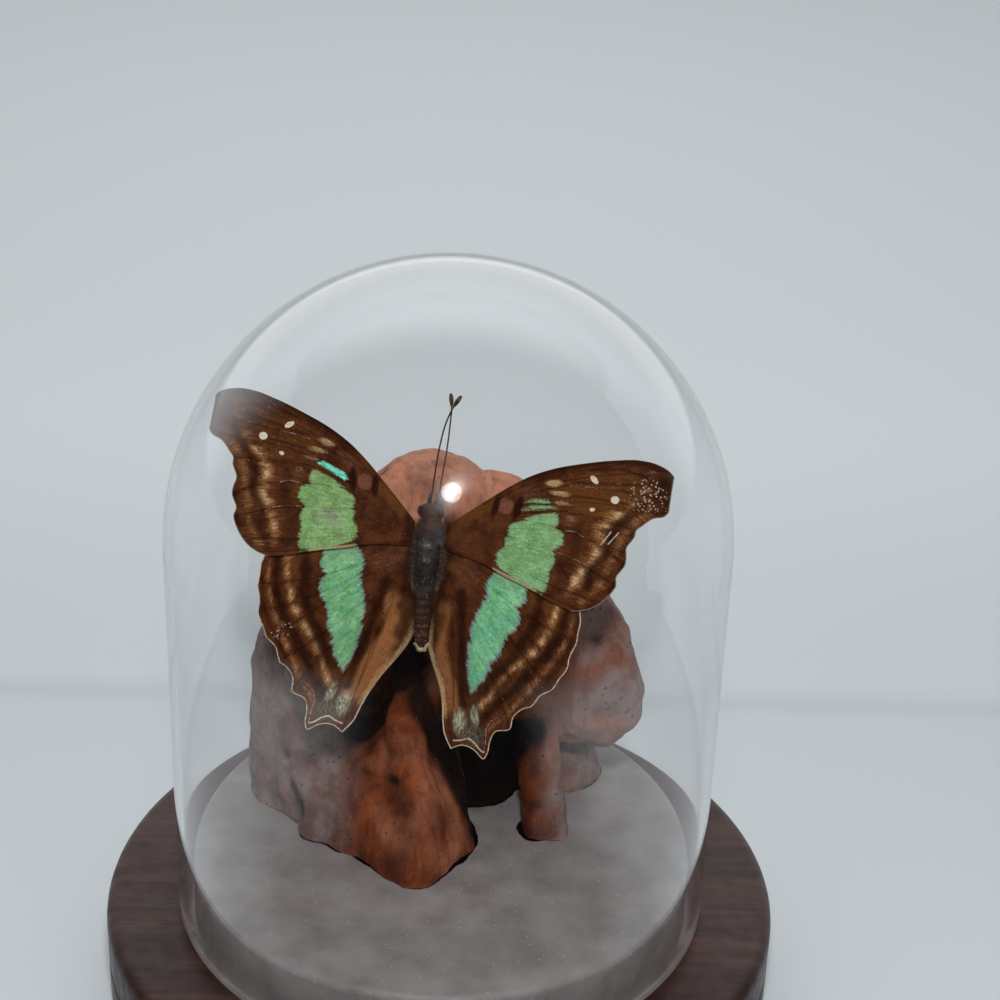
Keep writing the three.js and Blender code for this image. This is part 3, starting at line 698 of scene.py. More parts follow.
HINDWING = {
    "leading": [[1, 1.4], [5, 3.4], [10, 4.3], [15, 3.8], [19.5, 1.6], [22.7, -1.6], [24.1, -4.6]],
    "margin": [[24.1, -4.6], [24.5, -6.2], [24.45, -8], [24.5, -9.4], [23.8, -12.3], [23.8, -13.8],
               [22.5, -16.4], [22, -17.5], [20.1, -19.2], [19.6, -20.3], [19.2, -21],
               [17.95, -21.7], [16.6, -23.4], [16.4, -25.4], [14.1, -26.5], [13.6, -28],
               [13.5, -30.2], [13.1, -31.2], [11.2, -30.2], [10.1, -29.9], [9, -30], [7.35, -31]],
    "trailing": [[1, -5], [0.7, -7.2], [0.2, -10], [-0.1, -13.4], [0.4, -16], [1.4, -18.2],
                 [2.4, -20.3], [3.5, -22.2], [4.4, -24.3], [5, -26.6], [5.9, -29], [7.35, -31]],
    "veins": [
        [[1, 0.5], [8, 2.2], [15, 0.6], [21, -3.4], [24.5, -6.2]],
        [[2, -0.6], [5.5, -1.8], [9.9, -4.2], [14.5, -6.4], [20, -8.4], [24.5, -9.4]],
        [[4, -2.4], [6.2, -3.4], [10.5, -6.6], [15, -9.5], [19.5, -12.2], [23.8, -13.8]],
        [[4.6, -3.6], [8.4, -6.0], [13.6, -10.8], [18, -14.9], [22, -17.5]],
        [[2, -3], [4.6, -5], [7.5, -9.5], [11, -13.4], [15, -17.6], [19.2, -21]],
        [[3.6, -5.6], [6.8, -12], [9.5, -15.4], [11.8, -18], [14.4, -21.8], [16.4, -25.4]],
        [[2, -5], [4, -9], [6, -13.5], [8.1, -20.5], [10, -24.5], [13.1, -31.2]],
        [[1.8, -6], [3.2, -9], [4.8, -14], [5.9, -20], [6.6, -25], [7.35, -31]],
    ],
    "band": [[12, 1.6], [9.3, -1.8], [8.1, -3.4], [8.6, -5.2], [8.1, -7.5], [7.4, -9.4], [7.1, -11.7],
             [7.2, -14], [7.6, -17.1], [8.1, -19.6], [8.9, -21.8], [9.6, -20.9], [11.2, -18.6],
             [11.8, -17.1], [11.5, -16.1], [12.7, -15], [12.9, -12.6], [13.8, -10.9], [14.9, -9.2],
             [15.0, -7.6], [14.4, -6.2], [15.4, -5], [15.2, -3], [14.8, 0.5]],
    "tan": [([[20.7, -3.4], [20.1, -6.8], [18.5, -11.7], [14.6, -16.7], [12.1, -21], [10.8, -23.4]],
             0.85, 0.85),
            ([[23.3, -4.8], [22.9, -9], [21.4, -13.2], [19, -17.5], [16.6, -21.5], [14.6, -24.4],
              [12.9, -26.4]], 0.6, 0.65)],
    "dark": [([[22.1, -4], [21.5, -9.2], [20, -12.9], [17.5, -16.8], [14.7, -20.6], [12.3, -24.2]], 0.9, 1.0),
             ([[17.6, -3], [17.1, -9], [15.4, -13.0], [12.9, -17.3], [10.9, -20.8]], 1.2, 0.9),
             ([[24, -8], [22.6, -13.6], [20, -18], [17, -22]], 0.5, 0.6)],
    "fringe": 1,
    "ovals": [
        ("red", 0.45, (5.2, -2.6), 3.4, 2.0, -20, 0.6),
        ("olive", 0.8, (18.5, -4.6), 3.4, 1.5, -25, 0.5), ("olive", 0.6, (11.4, -21.0), 0.9, 1.3, -20, 0.6),
        ("haired", 1, (8.0, -26.3), 1.0, 1.8, 8, 0.6), ("haired", 1, (10.3, -24.9), 0.6, 1.5, 16, 0.6),
        ("haired", 0.25, (10.4, -27.8), 2.0, 1.6, -20, 0.7),
        ("dark", 0.6, (10.4, -27.4), 2.3, 1.9, -20, 0.5), ("patch", 1, (12.2, -1.6), 2.6, 2.4, 0, 0.6),
    ],
    "lines": [
        ("dark", 0.8, 0.95, [[4.7, -6], [5.9, -12], [6.8, -18], [8.0, -23.5]]),
        ("dark", 0.45, 0.4, [[3.3, -8], [4.4, -14], [5.4, -19], [6.6, -24]]),
        ("scratch", 1, 0.13,
         [[7.6, -29.5], [8.9, -29.1], [9.9, -28.6], [10.8, -28.9], [12.2, -29.9], [12.9, -30.2]]),
        ("scratch", 0.55, 0.12, [[12.9, -30.2], [12.8, -28.2], [12.6, -26.2], [13.4, -24.6], [14.8, -23.5]]),
    ],
    LEFT: {"cool": 0.6, "ovals": [("dusty", 1, (19.6, -16.3), 2.2, 1.5, -40, 0.45)], "lines": []},
    RIGHT: {"cool": 0.9, "ovals": [("dusty", 0.6, (20.5, -15), 2.4, 4.0, -30, 0.6)], "lines": []},
}


GREEN_STREAKS = [[[12.7, 6.55], [14.4, 7.5], [16.4, 7.8], [16.9, 7.3], [14.6, 6.9]],
                 [[12.5, 5.3], [13.9, 6.3], [16.7, 7.0], [18.0, 6.7], [14.6, 5.8]]]
CYAN_GLEAM = [[12.6, 5.3], [13.4, 6.3], [17.0, 7.5], [17.9, 7.1], [16.2, 6.4], [13.2, 5.1]]


def wing_marks(outline, x, y, side, seed):
    """Marks that both kinds of wing share, on points of the wing's plane. Distances to the veins
    and to the margin are kept in millimetres, so that the finish can draw them as thin lines."""
    flat = np.stack([x, y], -1)
    place = np.stack([x, y, 0 * x], -1)
    uneven = 0.6 * soft_noise(place, 1.2, seed) + 0.4 * soft_noise(place, 3.3, seed + 1)
    margin = curve_through(outline["margin"], 160)
    to_vein = np.min([distance_to(curve_through(v, 30), flat) for v in outline["veins"]], axis=0)
    beads = 1 - 0.45 * np.exp(-((to_vein / 0.7) ** 2))

    def rows(word):
        found = [strength * row_of(line, flat, width * (1 + 0.45 * uneven))
                 for line, width, strength in outline[word]]
        return np.max(found, axis=0) * np.clip(0.85 + 0.35 * uneven, 0.25, 1)

    depth = depth_inside(outline["band"], flat) - 0.3 * np.exp(-((to_vein / 0.25) ** 2))
    marks = {word: np.zeros(len(x)) for word in ("pale", "cream", "red", "cyan", "olive", "haired",
                                                 "dusty", "fold", "scratch", "patch")}
    marks.update({
        "green": np.clip(0.5 + depth / 2, 0, 1),
        "tan": rows("tan") * beads,
        "dark": np.maximum(rows("dark"), 0.75 * smooth_step(3.6, 1.2, x + uneven)),
        "to_vein": np.minimum(to_vein, 1),
        "veined": smooth_step(5, 20, np.hypot(x, y)) * 0.5 + 0.15,
        "to_edge": np.minimum(distance_to(margin, flat), 1),
        "fringe": np.full(len(x), outline["fringe"]),
        "cool": np.full(len(x), outline[side]["cool"]),
    })
    for table in (outline, outline[side]):
        for word, level, *oval in table["ovals"]:
            marks[word] = np.maximum(marks[word], level * soft_spot(x, y, *oval))
        for word, level, width, line in table["lines"]:
            marks[word] = np.maximum(marks[word], level * row_of(line, flat, width))
    return marks, to_vein


def forewing_marks(x, y, side):
    """On the left wing the gleam over the band, on the right one two green streaks there."""
    marks, to_vein = wing_marks(FOREWING, x, y, side, 40 + side)
    flat = np.stack([x, y], -1)
    if side == RIGHT:
        streaks = np.max([depth_inside(one, flat) for one in GREEN_STREAKS], axis=0)
        marks["green"] = np.maximum(marks["green"], np.clip(0.5 + streaks / 2, 0, 1))
    else:
        marks["cyan"] = np.clip(0.5 + depth_inside(CYAN_GLEAM, flat) / 1.2, 0, 1)
    return marks, to_vein


def hindwing_marks(x, y, side):
    """The folded inner margin and its pale hem. Past the tail the fringe follows that margin too."""
    marks, to_vein = wing_marks(HINDWING, x, y, side, 50 + side)
    to_inner = distance_to(curve_through(HINDWING["trailing"], 80), np.stack([x, y], -1))
    marks["to_edge"] = np.minimum(marks["to_edge"], np.where(y < -24, to_inner / 1.5, 1))
    width, folded, pale = (4.4, 1, 0.85) if side == LEFT else (3.6, 0.72, 1.1)
    fold = smooth_step(width + 0.8, width - 1.2, to_inner)
    marks["fold"] = folded * fold * smooth_step(-6, -10, y) * smooth_step(-28, -23, y)
    hem = smooth_step(1.5, 0.15, to_inner) * smooth_step(-9.5, -15, y) * smooth_step(-28, -24, y)
    marks["cream"] = pale * hem
    return marks, to_vein


def wing_finish():
    """Scales on a wing: dark brown ground, tan and dark rows, olive fields, a feathered green band,
    cream bars and white spots, each edge broken up by noise that runs along the wing. The scales
    are matt: only the green ones have a faint metallic gleam."""
    f = Finish("wing_scales", Specular_IOR_Level=0.04)
    along = f.node("UVMap", uv_map="along").outputs[0]
    comb = f.noise(0.5, 3, 0.6, place=along, stretch=(5, 1, 1))
    fleck = f.noise(0.3, 3, 0.7)
    cloud = f.noise(2.2, 5, 0.65)
    feather = f.plus(f.times(f.sum("SUBTRACT", comb, 0.5), 1.0),
                     f.times(f.sum("SUBTRACT", fleck, 0.5), 0.6))

    def torn(word, low, high, ragged, most=1.0):
        """Where a mark rises from low to high, less or more by the feathered noise."""
        return f.between(f.plus(f.mark(word), f.times(feather, ragged)), low, high, 0, most)

    ground = f.over("#381a0d", "#5c331a", cloud, 0.3, 0.7)
    for code, *reach in GROUND_LAYERS:
        ground = f.mix(torn(*reach), ground, code)
    streaks = f.noise(0.28, 3, 0.6, stretch=(1, 1, 8))
    hair = f.times(f.mark("haired"), f.between(streaks, 0.32, 0.66, 0.15, 1.0))
    ground = f.mix(hair, ground, "#a9ab90")
    warm = f.over("#728f53", "#95b57a", cloud, 0.3, 0.75)
    cold = f.over("#59a677", "#8fc99a", cloud, 0.3, 0.75)
    cold = f.over(cold, "#4fb39a", f.noise(4.5, 3), 0.5, 0.7, 0.55)
    band = f.mix(f.mark("cool"), warm, cold)
    patchy = f.plus(f.noise(1.5, 5, 0.7), f.times(f.mark("patch"), 0.16))
    band = f.over(band, "#9d9489", patchy, 0.58, 0.78, 0.6)
    shallow = f.times(f.between(f.mark("green"), 0.55, 1.0, 0.8, 0), f.mark("cool"))
    band = f.mix(shallow, band, "#7d8390")
    bright = f.noise(0.9, 3, 0.7, place=along, stretch=(3.5, 1, 1))
    band = f.over(band, "#9fe08f", bright, 0.52, 0.7, 0.55)
    band = f.over(band, "#56897c", bright, 0.46, 0.3, 0.4)
    band = f.over(band, "#4a7a52", comb, 0.5, 0.8, 0.35)
    green = torn("green", 0.4, 0.68, 0.55)
    cyan = torn("cyan", 0.38, 0.72, 0.5)
    colour = f.mix(green, ground, band)
    vein = f.times(f.between(f.mark("to_vein"), 0.03, 0.2, 0.85, 0), f.mark("veined"))
    vein = f.times(vein, f.between(green, 0, 1, 1, 0.55))
    colour = f.mix(vein, colour, "#8d7f70", "MULTIPLY")
    colour = f.mix(torn("cream", 0.15, 1.0, 1.0, 0.8), colour, "#b8946c")
    colour = f.mix(torn("scratch", 0.3, 0.7, 0.5, 0.7), colour, "#d9c9b6")
    colour = f.mix(cyan, colour, f.over("#5cc9a8", "#8cecd8", comb, 0.35, 0.65))
    colour = f.mix(torn("pale", 0.35, 0.65, 0.3), colour, "#d3c1ae")
    rim = f.times(f.mark("fringe"), f.between(feather, -0.3, 0.1, 0.5, 1.0))
    rim = f.times(rim, f.between(f.mark("to_edge"), 0.09, 0.2, 1, 0))
    colour = f.mix(rim, colour, "#cfb79e")
    colour = f.mix(f.times(f.mark("dusty"), f.dots(0.8, 0.05, 0.15)), colour, "#cdb3a2")
    powder = f.times(f.between(f.mark("dusty"), 0.6, 1.0), f.dots(0.5, 0.15, 0.38, 0.85))
    colour = f.mix(powder, colour, "#d9b8ac")
    colour = f.mix(f.times(f.dots(1.4, 0.02, 0.05), 0.5), colour, "#d8ccc0")
    grainy = f.times(f.between(fleck, 0.25, 0.75, 0.7, 1.3), f.between(comb, 0.3, 0.7, 0.88, 1.12))
    grey = f.node("CombineColor", {0: grainy, 1: grainy, 2: grainy}).outputs[0]
    colour = f.mix(1.0, colour, grey, "MULTIPLY")
    gleam = f.sum("MAXIMUM", f.times(green, 0.08), f.times(cyan, 0.3))
    f.set("Metallic", gleam)
    roughness = f.sum("SUBTRACT", f.between(fleck, 0.3, 0.7, 0.75, 0.92), f.times(gleam, 0.8))
    rows = f.noise(0.16, 2, 0.6, place=along, stretch=(0.7, 1.6, 1))
    return f.painted(colour, roughness, f.bump(f.plus(rows, fleck), 0.05, 0.5))


GROUND_LAYERS = [             # paint, mark, its low and high end, raggedness, strength
    ("#643b1a", "olive", 0.1, 0.9, 0.6, 0.85),
    ("#754735", "red", 0.2, 0.9, 0.5, 0.85),
    ("#955f39", "fold", 0.1, 0.9, 0.5, 0.92),
    ("#966640", "tan", 0.12, 0.95, 0.9, 0.92),
    ("#c4a67c", "tan", 0.6, 1.1, 0.9, 0.9),
    ("#260f05", "dark", 0.1, 0.9, 0.5, 0.92),
]


WING = {side: turn("Y", -side * DIHEDRAL) @ turn("Z", SPREAD_TURN) for side in (LEFT, RIGHT)}


def membrane(outline, rows, columns):
    """The wing's plane as a patch between its four edges: with s from root to margin and t from
    leading to trailing edge, (1-t)·front(s) + t·back(s) + (1-s)·root(t) + s·edge(t), less the
    same blend of the four corners."""
    front = curve_through(outline["leading"], rows)[:, None]
    back = curve_through(outline["trailing"], rows)[:, None]
    edge = curve_through(outline["margin"], columns)[None]
    s = np.linspace(0, 1, rows)[:, None, None]
    t = np.linspace(0, 1, columns)[None, :, None]
    root = front[0] * (1 - t[0]) + back[0] * t[0]
    corners = ((1 - s) * (1 - t) * front[0] + (1 - s) * t * back[0]
               + s * (1 - t) * front[-1] + s * t * back[-1])
    flat = (1 - t) * front + t * back + (1 - s) * root[None] + s * edge - corners
    return flat.reshape(-1, 2), (s + 0 * t).ravel(), (t + 0 * s).ravel()


def plate(top, bottom, rows, columns, flip):
    """Closed plate between two grids, its rim joined by quads."""
    under = rows * columns
    grid = grid_faces(rows, columns)
    rim = np.concatenate([
        np.arange(columns - 1), columns - 1 + columns * np.arange(rows - 1),
        (rows - 1) * columns + np.arange(columns - 1, 0, -1), columns * np.arange(rows - 1, 0, -1)])
    after = np.roll(rim, -1)
    wall = np.stack([after, rim, rim + under, after + under], -1)
    faces = np.concatenate([grid, grid[:, ::-1] + under, wall])
    return np.concatenate([top, bottom]), [faces[:, ::-1] if flip else faces]


def inner_shift(side, y, to_inner):
    """How far the inner margins move sideways to follow the abdomen, which lies a little left of
    the hinge line: a table along the wing, times exp(-(distance to the margin)/3.5)."""
    at = [-29, -26.6, -24.3, -22.2, -20.3, -18.2, -16, -13.4, -10, -7.2, -5]
    left = [0, 0.05, -0.3, -0.63, -0.69, -1.09, -1.26, -1.52, -1.14, -0.6, -0.2]
    right = [0, 0, 0, 0, -0.05, -0.28, -0.23, 0.2, 0.14, 0.05, 0]
    return np.interp(y, at, left if side == LEFT else right) * np.exp(-to_inner / 3.5)


def wing_place(side, hinge, x, y, height):
    """From a wing's own plane and height over it to the part's frame."""
    local = np.stack([side * x, y, height], -1) @ WING[side].T
    return on_specimen(np.multiply(hinge, [side, 1, 1]) + local)


def make_wing(name, side, finish, outline, hinge, marks_of, rows, columns):
    """A wing: membrane with raised veins, sagging cells, slight ripples and its camber. The hindwing
    is folded down beside the abdomen and follows it."""
    flat, s, t = membrane(outline, rows, columns)
    x, y = flat.T
    marks, to_vein = marks_of(x, y, side)
    folded = outline is HINDWING
    ripple = soft_noise(np.stack([x, y, 0 * x], -1), 5.5, 20 + side + 5 * folded)
    height = WING_CAMBER * np.sin(np.pi * np.minimum(x / WING_REACH, 1)) + 0.12 * ripple * s
    height -= 0.16 * np.clip(to_vein / 1.6, 0, 1) ** 2 * np.sin(np.pi * s) ** 0.5
    if folded:
        height -= 1.6 * np.maximum(0, (t - 0.8) / 0.2) ** 2 * np.sin(np.pi * np.minimum(1, s + 0.1))
        height -= 0.5 * np.exp(-(((t - 0.8) / 0.07) ** 2)) * np.sin(np.pi * s)
        to_inner = distance_to(curve_through(outline["trailing"], 80), flat)
        x = x + inner_shift(side, y, to_inner)
    half = WING_THICKNESS / 2 + 0.07 * np.exp(-((to_vein / 0.16) ** 2)) * (1 - 0.6 * s)
    top = wing_place(side, hinge, x, y, height + half)
    bottom = wing_place(side, hinge, x, y, height - half)
    both = {word: np.tile(values, 2) for word, values in marks.items()}
    uv = np.tile(np.stack([s, t], -1) * PATTERN_SPAN * MM, (2, 1))
    shape = plate(top, bottom, rows, columns, side > 0)
    made = piece(name + "_scaled", shape, finish, both, uv)
    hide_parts(name)


def make_wings():
    """Four wings; the numbers are where each is hinged and the rows and columns of its grid."""
    finish = wing_finish()
    for word, side in (("left", LEFT), ("right", RIGHT)):
        make_wing(f"forewing_{word}", side, finish, FOREWING, (1.6, 3.0, 1.2), forewing_marks, 190, 190)
        make_wing(f"hindwing_{word}", side, finish, HINDWING, (1.6, -1.0, 0.5), hindwing_marks, 170, 240)


# ---------------------------------------------------------------- body, antennae and hair

BODY_STATIONS = [             # x, y, z, half width, half depth
    [-0.3, 6.5, 0.2, 0.3, 0.3], [-0.3, 6.1, 0.2, 1.1, 1.0], [-0.3, 5.2, 0.2, 1.6, 1.4],
    [-0.25, 4.2, 0.1, 1.4, 1.4], [-0.2, 3.5, 0, 1.6, 1.5], [-0.1, 2.3, 0, 2.3, 2.0],
    [-0.2, 0.5, 0, 2.45, 2.45], [-0.3, -2.5, 0, 2.35, 2.45], [-0.5, -5.2, 0, 2.15, 2.1],
    [-0.58, -7.3, 0.05, 1.75, 1.65],
    [-0.68, -8.8, 0.1, 1.32, 1.35], [-0.72, -11, 0.2, 1.25, 1.2], [-0.72, -14, 0.2, 1.18, 1.1],
    [-0.64, -16.3, 0.2, 0.95, 0.85], [-0.6, -17.3, 0.2, 0.35, 0.35],
]
RING_PITCH = 1.25             # from one ring of the abdomen to the next
RING_SWELL = 0.07             # how much each of them bulges, by its radius
LEG_PATHS = [
    [[1.0, 1.2, -1.9], [1.9, 1.6, -3.2], [2.4, -0.6, -4.0], [2.7, -3.4, -3.6]],
    [[1.1, -1.6, -1.9], [3.0, -3.0, -3.4], [2.7, -6.2, -3.8], [1.9, -9.0, -3.0]],
    [[0.7, 2.4, -1.6], [0.9, 3.6, -2.6], [1.2, 1.8, -3.0]],
]
ANTENNAE = {                  # two shades and the line from the head to the tip
    "antenna_left": ("#1d120c", "#5a3a22",
                     [[-0.3, 6.4, 1.1], [0.19, 11.45, 1.5], [0.71, 15.54, 1.8], [1.62, 19.64, 1.9],
                      [2.5, 21.8, 2.0], [3.68, 23.7, 2.0]]),
    # Painted light: the right antenna's shades are lighter than the left's.
    "antenna_right": ("#3a2010", "#b0703a",
                      [[0.8, 6.4, 1.1], [1.22, 10.26, 1.1], [1.73, 14.43, 0.9], [2.06, 18.89, 0.8],
                       [2.16, 21.74, 0.8], [1.93, 23.9, 0.8]]),
}
HAIR_SHADES = {
    "black": ("#1a1310", "#443629"),
    "brown": ("#3c2e28", "#6b5549"),
    "mauve": ("#4c4449", "#857a80"),
    "olive": ("#5a4a3c", "#a08c74"),
    "cream": ("#b39a76", "#efe0c0"),
}
# Shade, slant towards the tail, length, width and lift off the skin, then the patches of roots:
# count, low and high end along the body, half spread and middle round it in degrees.
FUR = {
    "thorax_hair": ("black", 1.0, 0.8, 0.032, 0.4, [(1500, -6.5, 2.2, 80, 90)]),
    "head_hair": ("brown", 0.3, 0.6, 0.03, 0.8, [(900, 1.6, 6.0, 80, 90)]),
    "collar_hair": ("mauve", 0.7, 1.0, 0.035, 0.8, [(150, 0.2, 2.4, 26, 35)]),
    "wing_root_hair": ("brown", 0.45, 1.7, 0.028, 1.0, [(650, -6.0, 3.2, 24, 14), (650, -6.0, 3.2, 24, 166)]),
    "side_hair": ("olive", 0.9, 1.0, 0.028, 0.9, [(110, -7.5, 0.5, 24, 14), (110, -7.5, 0.5, 24, 166)]),
    "abdomen_hair": ("black", 1.3, 0.5, 0.022, 0.25, [(700, -16.0, -7.0, 100, 90)]),
    "tail_fringe": ("cream", 0.8, 0.6, 0.035, 0.8,
                    [(170, -17.25, -16.2, 55, 200), (170, -17.25, -16.2, 55, 340),
                     (200, -17.25, -17.0, 55, 270), (160, -17.25, -17.0, 55, 90)]),
}


def chitin_finish(name, dark, light, shine):
    """Horny skin: dark, with paler scales scattered on it and a soft shine."""
    f = Finish(name, Coat_Weight=shine, Coat_Roughness=0.2, Specular_IOR_Level=0.3)
    scales = f.noise(0.35, 4, 0.7)
    colour = f.over(dark, light, scales, 0.5, 0.8, 0.7)
    colour = f.mix(f.times(f.dots(0.7, 0.0, 0.13), 0.7), colour, "#cfc8be")
    roughness = f.between(scales, 0.3, 0.7, 0.4, 0.75)
    return f.painted(colour, roughness, f.bump(scales, 0.06, 0.6))


def body_finish():
    """Scaled skin that goes from a brown collar over a blue-black thorax to a red-brown abdomen
    with dark rings, scattered pale specks and pale grey painted glints on two humps of the back."""
    f = Finish("body_scales", Specular_IOR_Level=0.25)
    scales = f.noise(0.4, 5, 0.7)
    thorax = f.over("#1d1613", "#3b3736", f.noise(1.3, 4), 0.35, 0.68)
    colour = f.mix(f.mark("collar"), thorax, "#4e392f")
    tail = f.over("#29140e", "#573727", scales, 0.35, 0.7)
    colour = f.mix(f.mark("tail"), colour, tail)
    colour = f.mix(f.times(f.mark("ring"), 0.45), colour, "#1c0e0a")
    # Painted glints: pale grey on the two humps of the back.
    colour = f.mix(f.times(f.mark("glint_hump"), f.between(scales, 0.4, 0.62)), colour, "#8d8478")
    colour = f.mix(f.dots(0.75, 0.04, 0.13, 0.75), colour, "#c9bfb2")
    roughness = f.between(scales, 0.3, 0.7, 0.42, 0.8)
    return f.painted(colour, roughness, f.bump(scales, 0.1, 0.7))


def hair_finish(name, dark, light):
    """Dry hair between two shades, as the hairs lie."""
    f = Finish(name, Roughness=0.7, Specular_IOR_Level=0.15)
    f.set("Base Color", f.over(dark, light, f.noise(0.5, 3), 0.3, 0.7))
    return f.material


def hairs(roots, way, length, width, bend):
    """Tapered three-sided hairs: centre root + way·length·t + bend·length·t², radius
    width·(1 - 0.85·t)."""
    steps = 4
    t = np.linspace(0, 1, steps)
    length = length[:, None, None]
    centre = roots[:, None] + way[:, None] * length * t[:, None] + bend[:, None] * length * t[:, None] ** 2
    across = unit(np.cross(way, [0.3, 0.5, 0.81]))
    up = np.cross(way, across)
    a = 2 * np.pi * np.arange(3) / 3
    ring = across[:, None, None] * np.cos(a)[:, None] + up[:, None, None] * np.sin(a)[:, None]
    radius = width * (1 - 0.85 * t)
    points = centre[:, :, None] + ring * radius[:, None, None]
    quads = grid_faces(steps, 3, closed=True)
    start = (np.arange(len(roots)) * steps * 3)[:, None, None]
    ends = np.array([[0, 2, 1], [3 * steps - 3, 3 * steps - 2, 3 * steps - 1]])
    return points.reshape(-1, 3), [(start + quads).reshape(-1, 4), (start + ends).reshape(-1, 3)]


def abdomen_rings(y):
    """Where the skin is ringed, and cos(2π·place/pitch) from ring to ring."""
    return smooth_step(-7.5, -9, y), np.cos(2 * np.pi * (y + 17.3) / RING_PITCH)


def body_radius(y):
    """Sideways place, height, half width and half depth of the body at y, with the abdomen's rings."""
    table = np.array(BODY_STATIONS)[::-1]
    x, z, width, depth = (np.interp(y, table[:, 1], table[:, k]) for k in (0, 2, 3, 4))
    ringed, wave = abdomen_rings(y)
    swell = 1 + ringed * RING_SWELL * wave
    return x, z, width * swell, depth * swell


def body_shape():
    """Head, thorax and ringed abdomen as rings along the body, roughened like packed hair, and
    the marks of its skin by the place along the body, with two raised humps on the back that carry painted
    glints."""
    line = curve_through(BODY_STATIONS, 190)
    ringed, wave = abdomen_rings(line[:, 1])
    swell = 1 + ringed * RING_SWELL * wave
    rings = rings_on(line[:, :3], line[:, 3] * swell, line[:, 4] * swell, (1, 0, 0), 64)
    points, faces = lofted(rings)
    x, y, z = points.T
    ringed, wave = abdomen_rings(y)
    rough = 0.10 * soft_noise(points, 0.9, 31) + 0.06 * soft_noise(points, 0.4, 32)
    # Two humps on the back, raised and marked for painted glints.
    back = np.exp(-(((x + 0.35) / 0.7) ** 2)) * (z > 0.5)
    humps = np.exp(-(((y + 0.2) / 0.45) ** 2)) + np.exp(-(((y + 2.6) / 0.4) ** 2)) * 0.8
    marks = {
        "collar": smooth_step(1.6, 3.2, y),
        "tail": smooth_step(-5.5, -12, y),
        "ring": ringed * smooth_step(0.2, -0.6, wave),
        "glint_hump": np.clip(back * humps, 0, 1),
    }
    rough += 0.3 * marks["glint_hump"]
    return (points + unit(points * [1, 0, 1]) * rough[:, None], faces), marks


def thin_limb(path, radius, sides=10):
    """Round rod along a smooth path, with a radius for each of its rows."""
    line = curve_through(path, len(radius))
    return lofted(rings_on(line, radius, radius, (0.2, 0.1, 1), sides))


def ball(centre, radii, rows=36, sides=48):
    """Egg shape: centre + radii·(cos(a)·sin(b), sin(a)·sin(b), cos(b))."""
    b = np.linspace(0, np.pi, rows)[1:-1]
    a = -2 * np.pi * np.arange(sides) / sides
    rings = np.stack([np.outer(np.sin(b), np.cos(a)), np.outer(np.sin(b), np.sin(a)),
                      np.repeat(np.cos(b)[:, None], sides, 1)], -1)
    points, faces = lofted(rings)
    points[-2:] = [[0, 0, 1], [0, 0, -1]]
    return centre + points * radii, faces


def placed(shape):
    """A shape of the specimen's own frame, in the part's."""
    return on_specimen(shape[0]), shape[1]


def make_body():
    """Body, legs, eyes, feelers at the mouth and antennae."""
    shape, marks = body_shape()
    body = piece("body", placed(shape), body_finish(), marks)
    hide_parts("butterfly_body")
    taper = 0.22 * (1 - 0.55 * np.linspace(0, 1, 60))
    legs = [thin_limb(np.multiply(path, [side, 1, 1]), taper) for side in (LEFT, RIGHT) for path in LEG_PATHS]
    piece("legs", placed(joined(legs)), chitin_finish("leg_chitin", "#2a1c14", "#6d5a48", 0.3))
    eye = chitin_finish("eye", "#2c120c", "#552a1c", 0.45)
    for word, centre in (("left", (-1.65, 5.0, 0.35)), ("right", (1.1, 4.8, 0.35))):
        piece(f"eye_{word}", placed(ball(centre, (0.78, 1.0, 0.9))), eye)
    palps = [thin_limb([[s * 0.45, 5.9, 0.3], [s * 0.6, 7.0, 0.6], [s * 0.45, 8.0, 0.7]],
                       np.linspace(0.42, 0.12, 60)) for s in (LEFT, RIGHT)]
    piece("mouth_feelers", placed(joined(palps)), chitin_finish("palp_chitin", "#3a2a20", "#8a7458", 0.1))
    t = np.linspace(0, 1, 160)
    club = 0.36 * np.sin(np.pi * np.clip((t - 0.86) / 0.17, 0, 1))
    radius = np.maximum(0.125 * (1 + 0.12 * np.cos(t * 240)), club)
    for name, (dark, light, path) in ANTENNAE.items():
        made = piece(name + "_jointed", placed(thin_limb(path, radius, 12)),
                     chitin_finish(name + "_chitin", dark, light, 0.3))
        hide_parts(name)


def on_body(rng, count, low, high, spread, middle):
    """Random roots on the body and the way out of its skin there: y between low and high, and an
    angle round it within spread degrees of middle (0 is the right side, 90 the back)."""
    y = rng.uniform(low, high, count)
    a = np.radians(middle + rng.uniform(-spread, spread, count))
    x, z, width, depth = body_radius(y)
    roots = np.stack([x + width * np.cos(a), y, z + depth * np.sin(a)], -1)
    return roots, unit(np.stack([np.cos(a) / width, 0 * a, np.sin(a) / depth], -1))


def make_fur():
    """Hairs that leave the skin at a slant and lie towards the tail."""
    rng = np.random.default_rng(11)
    finishes = {shade: hair_finish(shade + "_hair", *codes) for shade, codes in HAIR_SHADES.items()}
    for name, (shade, slant, length, width, lift, patches) in FUR.items():
        found = [on_body(rng, *patch) for patch in patches]
        roots, normal = (np.concatenate(pair) for pair in zip(*found))
        way = unit(normal * lift + [0, -slant, 0] + rng.normal(0, 0.16, roots.shape))
        lengths = length * rng.uniform(0.6, 1.25, len(roots))
        shape = hairs(roots - normal * 0.05, way, lengths, width, -normal * 0.18)
        piece(name, placed(shape), finishes[shade])


# ---------------------------------------------------------------- stage, light and camera

